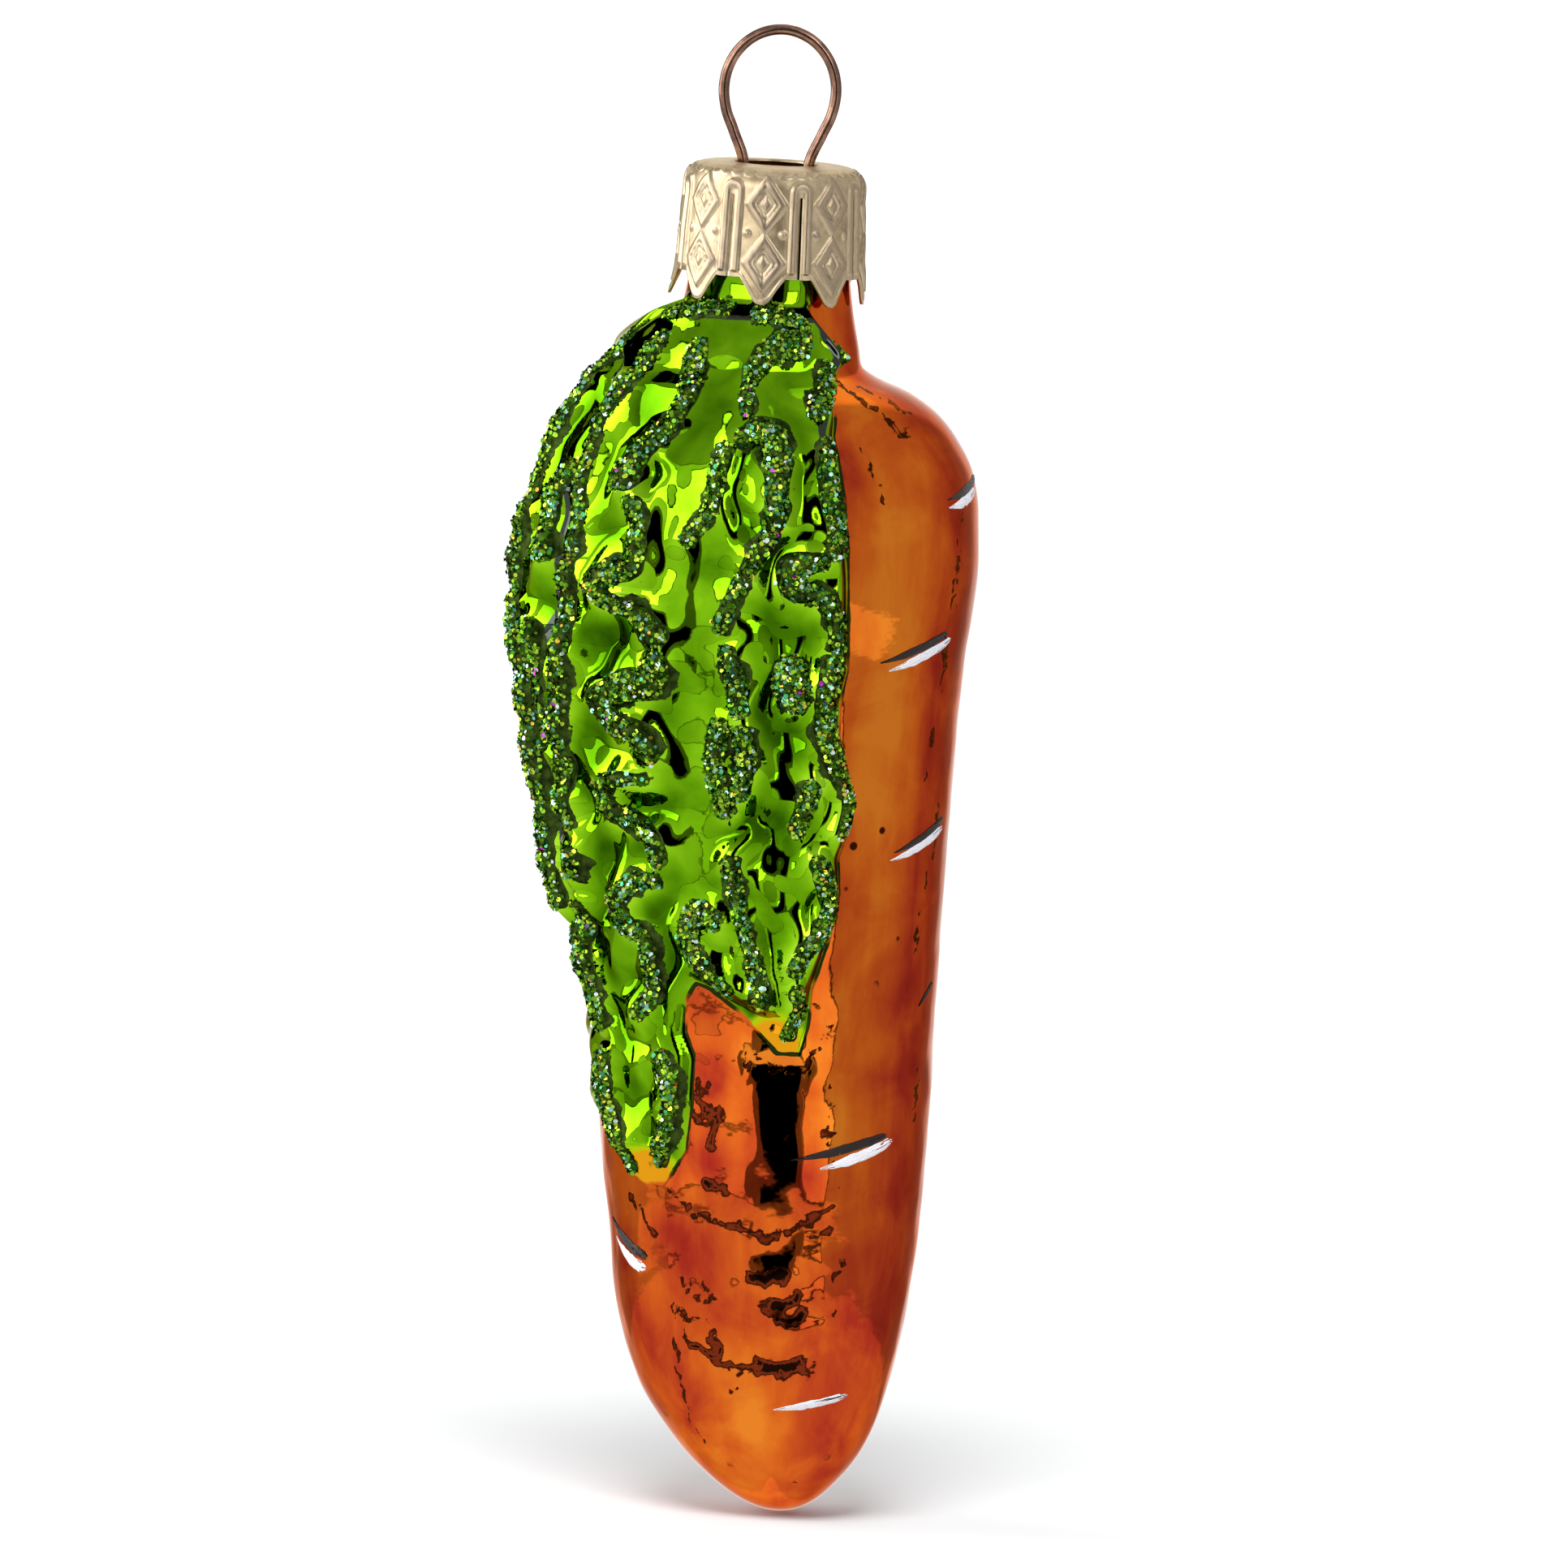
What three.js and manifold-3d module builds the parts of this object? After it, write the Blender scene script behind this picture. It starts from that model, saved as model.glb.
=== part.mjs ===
// Carrot ornament in blown, silvered glass, with a stamped cap, a wire hanger and glitter lines.
// Millimetres, +Z up. The origin is the hang point, at the inside top of the wire loop.
// -Y is the front, with the folded leaf on the front and on the left (-X).
import * as THREE from 'three';
import { mergeVertices } from 'three/addons/utils/BufferGeometryUtils.js';
import Module from 'manifold-3d';

const wasm = await Module();
wasm.setup();

// Clearance between pieces that touch
const GAP = 0.3;

// Wire hanger
const WIRE_D = 0.8;
const LOOP_HALF_WIDTH = 4.15;
const LOOP_HALF_HEIGHT = 4.5;
const LOOP_TO_CAP = 5.45;
const LEG_HALF_SPACING = 2.4;
const LEG_DEPTH = 8.6;
const WIRE_SIDES = 8;
const WIRE_STEPS = 52;

// Stamped cap
const SHEET = 0.3;
const CAP_HEIGHT = 8.05;
const CAP_FLARE = 0.33;
const SHOULDER_R = 1.5;
const PETALS = 8;
const PANEL_TURN_DEG = -4.7;
const PETAL_DROP = 2;
const PETAL_HALF_WIDTH = 1.65;
const PETAL_TIP_HALF_WIDTH = 0.5;
const SLIT_WIDTH = 0.3;
const SLIT_LENGTH = 6.1;
const EMBOSS = 0.18;
const BAND_WIDTH = 0.5;
const LOZENGE_HALF_WIDTH = 1.55;
const LOZENGE_HALF_HEIGHT = 2.17;
const WAIST_BELOW_TOP = 4.75;
const STUD_R = 0.28;
const RIB_OFFSET = 0.55;
const RIB_WIDTH = 0.5;
const CAP_SEGMENTS = 40;

// Blown glass
const WALL = 1.0;
const NECK_R = 5.7;
const LIP_ROUNDING = 0.55;
const NECK_LENGTH = 9.85;
const NECK_SWELL = 0.2;
const NECK_FOOT_R = 6.3;
const NECK_BLEND = 3.5;
const CAP_TO_NECK = 0.6;
const ROOT_LENGTH = 89.9;
const ROOT_HALF_WIDTH = 16.1;
const ROOT_DEPTH_RATIO = 0.93;
const ROOT_SWAY = 5.7;

// Folded leaf in relief
const LEAF_LENGTH = 65;
const LEAF_SWELL = 3.8;
const LEAF_EDGE_WIDTH = 1.1;
const RIM_BEAD = 0.3;
const RIM_BEAD_WIDTH = 0.8;
const MIDRIB_DEPTH = 0.55;
const MIDRIB_WIDTH = 1.7;
const MIDRIB_FADE = 3;
const FOLD_DEPTH = 0.75;
const FOLD_WIDTH = 0.9;
const FULL_RELIEF_SWELL = 1;
const CRINKLE = 0.42;
const CRINKLE_PITCH_ROUND = 6.6;
const CRINKLE_PITCH_DOWN = 7.6;

// Glitter lines
const GLITTER_WIDTH = 2.2;
const GLITTER_HEIGHT = 0.65;
const GLITTER_STEP = 1.5;
const SEAT_REACH = 0.6;

// Heights that follow from the sizes above
const WIRE_R = WIRE_D / 2;
const LOOP_CENTRE_Z = WIRE_R - LOOP_HALF_HEIGHT;
const CAP_TOP_Z = LOOP_CENTRE_Z - LOOP_TO_CAP;
const SKIRT_Z = CAP_TOP_Z - CAP_HEIGHT;
const MOUTH_Z = CAP_TOP_Z - SHEET - GAP;
const FOOT_Z = MOUTH_Z - NECK_LENGTH;
const TIP_Z = FOOT_Z - ROOT_LENGTH;
const CAP_R = NECK_R + CAP_TO_NECK + SHEET;
const HOLE_R = LEG_HALF_SPACING + WIRE_R + GAP;
const BORE_R = NECK_R - WALL;

// Root stations: share of the length below the neck's foot, of the half width, and of the sway
const ROOT_STATIONS = [
  [0.033, 0.43, 0], [0.046, 0.445, 0], [0.056, 0.52, 0.01], [0.066, 0.66, 0.015], [0.084, 0.808, 0.025],
  [0.103, 0.893, 0.035], [0.13, 0.97, 0.045], [0.16, 0.998, 0.06], [0.195, 1, 0.095], [0.29, 0.93, 0.185],
  [0.424, 0.86, 0.31], [0.558, 0.803, 0.43], [0.692, 0.756, 0.55], [0.781, 0.706, 0.615],
  [0.837, 0.664, 0.645], [0.893, 0.58, 0.7], [0.94, 0.45, 0.83], [0.979, 0.26, 0.93], [1, 0, 1],
];

// Leaf stations: percent of the leaf's length below the neck's foot, and share of the swell
const LEAF_LEFT = [
  [-1, 0], [0, 0.3], [2, 0.66], [6, 1.12], [8, 0.98], [9.6, 0.54], [12, 0.24], [17, 0.13], [22.5, 0.24],
  [30, 0.55], [36.5, 0.8], [42, 0.85], [50, 0.8], [59, 0.66], [65, 0.58], [70, 0.45], [76, 0.26],
  [82, 0.16], [98, 0.13],
];
const LEAF_RIGHT = [
  [-1, 0], [0, 0.22], [3, 0.62], [7, 0.8], [9.6, 0.45], [12.6, 0.28], [21, 0.25], [61, 0.28], [98, 0.18],
];
const LEAF_LEFT_DEG = -75;
const LEAF_RIGHT_DEG = 25;

// Outline of the leaf: percent of the leaf's length, degrees round from the front
const RIGHT_BORDER = [
  [-1, 28], [3, 39], [5, 43], [7.5, 34], [10, 27], [13, 23], [18, 23], [25, 24], [33, 25], [39.5, 26],
  [43, 24], [47, 24], [51, 26], [54.5, 30], [58, 28], [61, 25], [65, 26], [68.5, 24], [72, 21],
  [76, 17], [80, 16], [83.5, 13],
];
const LOBES = [
  [83.5, 5], [79, -8], [76.5, -19], [76, -24], [78, -28], [82, -29], [84.5, -26], [90, -27],
  [95.5, -30], [99.5, -39], [100, -50], [99, -56], [97, -65], [94, -72], [92, -95],
];
const BACK_BORDER = [
  [87, -110], [77, -118], [61, -128], [46, -130], [34, -126], [21.5, -128], [9, -118], [2.5, -100],
  [-1, -75],
];
const MIDRIB = [[0, -19], [10, -17], [28, -16], [47, -18], [65, -21], [76, -25]];
const FOLD = [[0, -66], [4.5, -75], [9, -63], [17, -57], [28, -58], [41, -65], [49, -70], [62, -74]];

// Glitter lines: name, share of the usual width, and points as [degrees round, percent down the leaf]
const GLITTER = [
  ['glitter_front_edge', 0.9, [
    [-50, 4], [-54, 9], [-56, 13.5], [-54, 20], [-53, 29], [-57, 42], [-61, 50], [-62, 56], [-61, 59.5],
  ]],
  ['glitter_left_edge', 0.82, [
    [-75, 3], [-80, 8], [-79, 13], [-78, 20], [-80, 30], [-80, 42], [-79, 50], [-82, 58], [-82, 69.5],
  ]],
  ['glitter_blob_vein', 1.15, [[-29, 4], [-26, 7], [-26, 9.5], [-29, 13], [-37, 16.5], [-40, 19]]],
  ['glitter_zigzag_1', 1.05, [
    [-36, 21.5], [-32, 25], [-33, 28.5], [-39, 29.5], [-44, 31], [-40, 33], [-32, 34], [-26, 36],
  ]],
  ['glitter_zigzag_2', 1.15, [
    [-25, 39], [-30, 42], [-37, 42.5], [-44, 44.5], [-41, 47], [-33, 47.5], [-30, 50],
  ]],
  ['glitter_zigzag_3', 1.05, [
    [-31, 53.5], [-41, 53.5], [-48, 55], [-43, 57], [-35, 58.5], [-30, 60], [-30, 62],
  ]],
  ['glitter_zigzag_4', 1.05, [
    [-31, 65], [-39, 65.5], [-46, 67.5], [-44, 70], [-36, 71.5], [-34, 74], [-37, 78], [-44, 80.5],
  ]],
  ['glitter_left_lobe', 1.1, [[-36, 85], [-31, 88], [-32, 92], [-36, 95], [-39, 97]]],
  ['glitter_lower_left_edge', 0.9, [[-62, 69], [-63, 73], [-60, 82.5]]],
  ['glitter_lobe_left_edge', 0.9, [[-60, 86], [-58, 91], [-55, 95.5], [-55, 98.5]]],
  ['glitter_small_left', 0.95, [[-58, 63], [-62, 65]]],
  ['glitter_top_hook', 1.1, [[20, 2.8], [18, 4.2], [12, 4.6], [6, 4.5], [0, 5], [-5, 7.5], [-6, 10.5]]],
  ['glitter_middle_vein', 1.3, [[-6, 13.5], [0, 12.5], [4, 14], [4, 19], [2, 24], [-6, 29.5], [-12, 35]]],
  ['glitter_branch', 1, [[-12, 17], [-14, 21.5], [-20, 25.5]]],
  ['glitter_neck_right', 0.8, [[38, 3.2], [39, 6]]],
  ['glitter_upper_right', 0.9, [[28, 6.2], [22, 8.5], [16, 10.2]]],
  ['glitter_right_edge_1', 1, [[18, 13.5], [18, 18], [20, 24]]],
  ['glitter_right_hook', 1.05, [[16, 26.8], [9, 27.5], [9, 30], [16, 31.5], [20, 34.5]]],
  ['glitter_right_edge_2', 1, [[20, 38], [18, 43], [18, 47], [23, 51], [26, 54], [22, 58]]],
  ['glitter_right_edge_3', 1, [[16, 61], [18, 63], [21, 66], [19, 69], [14, 71]]],
  ['glitter_right_edge_4', 1, [[12, 74.5], [12, 78.5], [7, 81.5]]],
  ['glitter_right_blob', 1.45, [[9, 39], [8, 41], [9, 43]]],
  ['glitter_right_small', 0.9, [[15, 52.5], [10, 57.5]]],
  ['glitter_column_1', 1, [[-10, 38], [-7, 43.5]]],
  ['glitter_column_2', 1.1, [[-13, 47.5], [-14, 51], [-9, 57]]],
  ['glitter_column_side', 1, [[-6, 47], [-5, 50.5]]],
  ['glitter_column_3', 1, [[-10, 61.5], [-6, 68], [-1, 74.5], [-2, 78]]],
  ['glitter_spiral', 1.05, [[-14, 68.5], [-19, 67.5], [-24, 69], [-24, 72], [-17, 74.5], [-10, 76.5]]],
  ['glitter_left_vein_1', 0.85, [[-61, 18.5], [-66, 23], [-65, 29]]],
  ['glitter_left_vein_2', 0.82, [[-70, 35], [-70, 44], [-71, 51]]],
  ['glitter_top_rim_left', 0.75, [[-53, 1], [-35, 0.8]]],
  ['glitter_top_rim_right', 0.7, [[-4, 0.7], [12, 0.6]]],
];

const MATERIALS = {
  glass: { color: 0xc8480f, roughness: 0.08, metalness: 0.85 },
  leaf: { color: 0x5fa00c },
  cap: { color: 0xb49b6c, roughness: 0.34, metalness: 1 },
  wire: { color: 0x6f4a38, roughness: 0.42, metalness: 1 },
  glitter: { color: 0x1f4d22, roughness: 0.5, metalness: 0.3 },
};

const DEG = Math.PI / 180;
const LEAF_PLANE_MM_PER_DEG = ROOT_HALF_WIDTH * DEG * 0.96;

function smooth(from, to, x) {
  const t = Math.min(1, Math.max(0, (x - from) / (to - from)));
  return t * t * (3 - 2 * t);
}

function hump(x, width) {
  return Math.exp(-((x / width) ** 2));
}

// Monotone cubic through rows of [position, value], constant past the ends
function curveThrough(rows, column = 1) {
  const slope = (i) => (rows[i + 1][column] - rows[i][column]) / (rows[i + 1][0] - rows[i][0]);
  const tangent = (i) => {
    if (i <= 0 || i >= rows.length - 1) return slope(Math.min(Math.max(i, 0), rows.length - 2));
    const before = slope(i - 1);
    const after = slope(i);
    return before * after <= 0 ? 0 : (2 * before * after) / (before + after);
  };
  return (x) => {
    if (x <= rows[0][0]) return rows[0][column];
    if (x >= rows[rows.length - 1][0]) return rows[rows.length - 1][column];
    let i = 0;
    while (x > rows[i + 1][0]) i += 1;
    const span = rows[i + 1][0] - rows[i][0];
    const t = (x - rows[i][0]) / span;
    const rise = 3 * t * t - 2 * t * t * t;
    return rows[i][column] * (1 - rise) + rows[i + 1][column] * rise
      + span * (tangent(i) * (t ** 3 - 2 * t * t + t) + tangent(i + 1) * (t ** 3 - t * t));
  };
}

// The root: half widths are squared before they are joined, so that the tip closes round
const rootProfile = [
  [MOUTH_Z, NECK_R - LIP_ROUNDING, 0], [MOUTH_Z - 2 * LIP_ROUNDING, NECK_R, 0],
  [MOUTH_Z - 0.7 * NECK_LENGTH, NECK_R + NECK_SWELL, 0], [FOOT_Z, NECK_FOOT_R, 0],
]
  .concat(ROOT_STATIONS.map(([down, width, sway]) => [
    FOOT_Z - down * ROOT_LENGTH, width * ROOT_HALF_WIDTH, sway * ROOT_SWAY,
  ]));
const squaredHalfWidth = curveThrough(rootProfile.map(([z, r]) => [-z, r * r]));
const swayAt = curveThrough(rootProfile.map(([z, , x]) => [-z, x]));
const halfWidthAt = (z) => Math.sqrt(Math.max(0, squaredHalfWidth(-z)));

function rootRadius(deg, z) {
  const a = halfWidthAt(z);
  if (a === 0) return 0;
  const b = a * (1 - (1 - ROOT_DEPTH_RATIO) * smooth(FOOT_Z + NECK_BLEND, FOOT_Z - NECK_BLEND, z));
  return (a * b) / Math.hypot(b * Math.sin(deg * DEG), a * Math.cos(deg * DEG));
}

// The leaf: its outline in a plane unrolled from the root, and its height over the root
const percentDown = (z) => ((FOOT_Z - z) / LEAF_LENGTH) * 100;
const zOfPercent = (percent) => FOOT_Z - (percent / 100) * LEAF_LENGTH;
const leafOutline = [...RIGHT_BORDER, ...LOBES, ...BACK_BORDER]
  .map(([percent, deg]) => [deg * LEAF_PLANE_MM_PER_DEG, zOfPercent(percent)]);
const rightBorderAt = curveThrough(RIGHT_BORDER);
const backBorderAt = curveThrough([...BACK_BORDER].reverse());
const midribAt = curveThrough(MIDRIB);
const foldAt = curveThrough(FOLD);
const leafLeftAt = curveThrough(LEAF_LEFT);
const leafRightAt = curveThrough(LEAF_RIGHT);

// Distance in from the leaf's outline, negative outside it
function distanceInLeaf(deg, z) {
  const x = deg * LEAF_PLANE_MM_PER_DEG;
  let inside = false;
  let nearest = Infinity;
  leafOutline.forEach(([x1, z1], i) => {
    const [x2, z2] = leafOutline[(i + 1) % leafOutline.length];
    if (z1 > z !== z2 > z && x < ((x2 - x1) * (z - z1)) / (z2 - z1) + x1) inside = !inside;
    const along = ((x - x1) * (x2 - x1) + (z - z1) * (z2 - z1)) / ((x2 - x1) ** 2 + (z2 - z1) ** 2);
    const t = Math.min(1, Math.max(0, along));
    nearest = Math.min(nearest, Math.hypot(x - x1 - t * (x2 - x1), z - z1 - t * (z2 - z1)));
  });
  return inside ? nearest : -nearest;
}

function crinkle(across, down) {
  const k = (2 * Math.PI) / CRINKLE_PITCH_ROUND;
  const m = (2 * Math.PI) / CRINKLE_PITCH_DOWN;
  const round = Math.sin(k * across + 1.3 * Math.sin(0.7 * m * down));
  const along = Math.sin(m * down + 1.1 * Math.sin(0.8 * k * across));
  const folds = Math.sin(1.6 * k * across - 1.1 * m * down + 1.5 * Math.sin(0.5 * m * down));
  return 0.75 * round * along + 0.35 * folds;
}

function leafHeight(deg, z) {
  const inwards = distanceInLeaf(deg, z);
  if (inwards <= 0) return 0;
  const percent = percentDown(z);
  const right = leafRightAt(percent);
  const left = leafLeftAt(percent);
  const swell = LEAF_SWELL * (right + (left - right) * smooth(LEAF_RIGHT_DEG, LEAF_LEFT_DEG, deg));
  const fromMidrib = (deg - midribAt(percent)) * LEAF_PLANE_MM_PER_DEG;
  const fromFold = (deg - foldAt(percent)) * LEAF_PLANE_MM_PER_DEG;
  const edge = smooth(0, LEAF_EDGE_WIDTH, inwards);
  const bead = RIM_BEAD * hump(inwards - LEAF_EDGE_WIDTH, RIM_BEAD_WIDTH);
  const midribDepth = MIDRIB_DEPTH * smooth(4, 9, percent) * smooth(0, MIDRIB_FADE, inwards);
  const midrib = midribDepth * hump(fromMidrib, MIDRIB_WIDTH);
  const fold = FOLD_DEPTH * hump(fromFold + FOLD_WIDTH, FOLD_WIDTH) * smooth(76, 66, percent);
  const insideRim = smooth(LEAF_EDGE_WIDTH, 2.7 * LEAF_EDGE_WIDTH, inwards);
  const crinkled = CRINKLE * insideRim * smooth(9, 14, percent) * (1 - hump(fromMidrib, 1.4 * MIDRIB_WIDTH));
  const relief = crinkled * crinkle(deg * LEAF_PLANE_MM_PER_DEG, z - FOOT_Z);
  const share = Math.min(1, swell / FULL_RELIEF_SWELL);
  return Math.max(0, edge * swell + (bead - midrib - fold + relief) * share);
}

const wrapDeg = (deg) => ((((deg + 180) % 360) + 360) % 360) - 180;

function glassRadius(deg, z) {
  return rootRadius(deg, z) + leafHeight(wrapDeg(deg), z);
}

function pointAt(deg, z, radius) {
  return new THREE.Vector3(swayAt(-z) + radius * Math.sin(deg * DEG), -radius * Math.cos(deg * DEG), z);
}

// Mesh helpers
function meshOf(name, geometry, finish) {
  const mesh = new THREE.Mesh(geometry, new THREE.MeshStandardMaterial(finish));
  mesh.name = name;
  return mesh;
}

function bufferOf(points, triangles) {
  const geometry = new THREE.BufferGeometry();
  geometry.setAttribute('position', new THREE.Float32BufferAttribute(points.flatMap((p) => p.toArray()), 3));
  geometry.setIndex(triangles.flat());
  geometry.computeVertexNormals();
  return geometry;
}

function solidOf(geometry) {
  const bare = geometry.clone();
  bare.deleteAttribute('normal');
  bare.deleteAttribute('uv');
  const merged = mergeVertices(bare, 1e-5);
  const vertProperties = new Float32Array(merged.attributes.position.array);
  const triVerts = new Uint32Array(merged.index.array);
  return new wasm.Manifold(new wasm.Mesh({ numProp: 3, vertProperties, triVerts }));
}

function geometryOf(solid) {
  const { vertProperties, triVerts } = solid.getMesh();
  const geometry = new THREE.BufferGeometry();
  geometry.setAttribute('position', new THREE.Float32BufferAttribute(vertProperties, 3));
  geometry.setIndex(Array.from(triVerts));
  geometry.computeVertexNormals();
  return geometry;
}

// Heights at which the glass has a row of points, from the mouth down to just above the tip
function glassRows() {
  const lip = [0, 0.8 * LIP_ROUNDING, 2 * LIP_ROUNDING];
  const neck = [0.7 * NECK_LENGTH, 0.88 * NECK_LENGTH, 0.95 * NECK_LENGTH];
  const rows = [...lip, ...neck].map((down) => MOUTH_Z - down);
  const neckEnd = 0.12 * ROOT_LENGTH;
  for (let i = 0; i < 9; i += 1) rows.push(FOOT_Z - (neckEnd * i) / 9);
  const leafEnd = 0.76 * ROOT_LENGTH;
  for (let i = 0; i < 28; i += 1) rows.push(FOOT_Z - neckEnd - ((leafEnd - neckEnd) * i) / 28);
  const rest = ROOT_LENGTH - leafEnd;
  const count = 12;
  for (let i = 0; i < count; i += 1) rows.push(FOOT_Z - leafEnd - rest * Math.sin((i / count) * 90 * DEG));
  return rows;
}

// Degrees of the columns at a height: they follow the leaf's right border, its fold and its back border
function glassColumns(z) {
  const percent = percentDown(z);
  const edge = LEAF_EDGE_WIDTH / LEAF_PLANE_MM_PER_DEG;
  const right = rightBorderAt(percent);
  const fold = foldAt(percent);
  const back = backBorderAt(percent);
  const knots = [
    [right, 1], [right - edge, 19], [fold, 1], [fold - edge, 11],
    [back + edge, 1], [back, 21], [right - 360, 0],
  ];
  const columns = [];
  knots.slice(0, -1).forEach(([deg, count], i) => {
    for (let k = 0; k < count; k += 1) columns.push(deg + ((knots[i + 1][0] - deg) * k) / count);
  });
  return columns;
}

// Blown shell: outer skin with the relief, inner skin with half as many columns, open at the mouth
function glassShell() {
  const points = [];
  const triangles = [];
  const rows = glassRows();
  const count = glassColumns(MOUTH_Z).length;
  rows.forEach((z) => glassColumns(z).forEach((deg) => points.push(pointAt(deg, z, glassRadius(deg, z)))));
  const outerTip = points.push(pointAt(0, TIP_Z, 0)) - 1;
  for (let j = 0; j < rows.length; j += 1) {
    for (let i = 0; i < count; i += 1) {
      const a = j * count + i;
      const b = j * count + ((i + 1) % count);
      if (j === rows.length - 1) triangles.push([a, b, outerTip]);
      else triangles.push([a, b, b + count], [a, b + count, a + count]);
    }
  }
  const innerCount = count / 2;
  const innerStart = points.length;
  const innerRows = rows.filter((z, j) => j % 4 === 0 && z > TIP_Z + 4 * WALL);
  innerRows.forEach((z) => {
    const degs = glassColumns(z);
    for (let i = 0; i < innerCount; i += 1) {
      const radius = z > FOOT_Z ? BORE_R : rootRadius(degs[2 * i], z) - WALL;
      points.push(pointAt(degs[2 * i], z, radius));
    }
  });
  const innerTip = points.push(pointAt(0, TIP_Z + 2 * WALL, 0)) - 1;
  for (let j = 0; j < innerRows.length; j += 1) {
    for (let i = 0; i < innerCount; i += 1) {
      const a = innerStart + j * innerCount + i;
      const b = innerStart + j * innerCount + ((i + 1) % innerCount);
      if (j === innerRows.length - 1) triangles.push([b, a, innerTip]);
      else triangles.push([b, a, a + innerCount], [b, a + innerCount, b + innerCount]);
    }
  }
  for (let i = 0; i < innerCount; i += 1) {
    const a = innerStart + i;
    const b = innerStart + ((i + 1) % innerCount);
    const outer = [2 * i, 2 * i + 1, (2 * i + 2) % count];
    triangles.push([outer[1], outer[0], a], [outer[1], a, b], [outer[2], outer[1], b]);
  }
  const geometry = bufferOf(points, triangles);
  const orange = new THREE.Color(MATERIALS.glass.color);
  const green = new THREE.Color(MATERIALS.leaf.color);
  const colours = points.flatMap((p, i) => {
    const deg = Math.atan2(p.x - swayAt(-p.z), -p.y) / DEG;
    return (i < innerStart && distanceInLeaf(deg, p.z) > 0 ? green : orange).toArray();
  });
  geometry.setAttribute('color', new THREE.Float32BufferAttribute(colours, 3));
  return meshOf('glass_shell', geometry, { ...MATERIALS.glass, color: 0xffffff, vertexColors: true });
}

// Round wire bent to a loop, with its two legs through the cap's hole and sprung apart in the neck
function hangerWire() {
  const legSpread = BORE_R - WIRE_R - GAP;
  const leg = [
    [legSpread - 0.4 * WIRE_R, CAP_TOP_Z - LEG_DEPTH],
    [legSpread, CAP_TOP_Z - 0.75 * LEG_DEPTH],
    [0.75 * legSpread, CAP_TOP_Z - 0.4 * LEG_DEPTH],
    [LEG_HALF_SPACING, CAP_TOP_Z - 0.5 * SHEET],
    [0.5 * (LEG_HALF_SPACING + LOOP_HALF_WIDTH), CAP_TOP_Z + 0.42 * LOOP_TO_CAP],
    [0.94 * LOOP_HALF_WIDTH, CAP_TOP_Z + 0.7 * LOOP_TO_CAP],
  ];
  const path = leg.map(([x, z]) => new THREE.Vector3(x, 0, z));
  for (let deg = 0; deg <= 180; deg += 20) {
    path.push(new THREE.Vector3(
      LOOP_HALF_WIDTH * Math.cos(deg * DEG), 0, LOOP_CENTRE_Z + LOOP_HALF_HEIGHT * Math.sin(deg * DEG)));
  }
  path.push(...leg.reverse().map(([x, z]) => new THREE.Vector3(-x, 0, z)));
  const section = new THREE.Shape();
  section.absarc(0, 0, WIRE_R, 0, 2 * Math.PI);
  const geometry = new THREE.ExtrudeGeometry(section, {
    extrudePath: new THREE.CatmullRomCurve3(path), steps: WIRE_STEPS, curveSegments: WIRE_SIDES / 2,
  });
  return meshOf('hanger_wire', geometry, MATERIALS.wire);
}

// The cap's outer radius at a height, flaring down the skirt and the petals
function capRadius(z) {
  return CAP_R + CAP_FLARE * Math.max(0, (CAP_TOP_Z - SHOULDER_R - z) / (CAP_HEIGHT - SHOULDER_R));
}

function capShell() {
  const bottom = SKIRT_Z - PETAL_DROP;
  const profile = [new THREE.Vector2(HOLE_R, CAP_TOP_Z - SHEET), new THREE.Vector2(HOLE_R, CAP_TOP_Z)];
  const arc = (radius, steps) => Array.from({ length: steps + 1 }, (_, i) => {
    const turn = (i / steps) * 90 * DEG;
    return new THREE.Vector2(
      CAP_R - SHOULDER_R + radius * Math.sin(turn), CAP_TOP_Z - SHOULDER_R + radius * Math.cos(turn));
  });
  profile.push(...arc(SHOULDER_R, 4));
  const hem = capRadius(bottom);
  profile.push(new THREE.Vector2(hem, bottom), new THREE.Vector2(hem - SHEET, bottom));
  profile.push(...arc(SHOULDER_R - SHEET, 3).reverse());
  profile.push(profile[0].clone());
  const lathe = new THREE.LatheGeometry(profile.reverse(), CAP_SEGMENTS);
  lathe.rotateX(Math.PI / 2);
  return solidOf(lathe);
}

// A flat outline in (round, up) mm, pushed through the sheet at a panel's middle and bent to the cap
function onCap(shape, panelDeg, inner, outer) {
  const depth = outer - inner;
  const geometry = new THREE.ExtrudeGeometry(shape, { depth, bevelEnabled: false, curveSegments: 3 });
  const position = geometry.attributes.position;
  for (let i = 0; i < position.count; i += 1) {
    const z = position.getY(i);
    const radius = capRadius(z) + inner + position.getZ(i);
    const turn = panelDeg * DEG + position.getX(i) / CAP_R;
    position.setXYZ(i, radius * Math.sin(turn), -radius * Math.cos(turn), z);
  }
  return solidOf(geometry);
}

function polygon(points) {
  return new THREE.Shape(points.map(([x, y]) => new THREE.Vector2(x, y)));
}

function lozenge(z, halfWidth, halfHeight) {
  return polygon([[halfWidth, z], [0, z + halfHeight], [-halfWidth, z], [0, z - halfHeight]]);
}

function strip(x, width, low, high) {
  const [left, right] = [x - width / 2, x + width / 2];
  return polygon([[left, low], [right, low], [right, high], [left, high]]);
}

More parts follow.
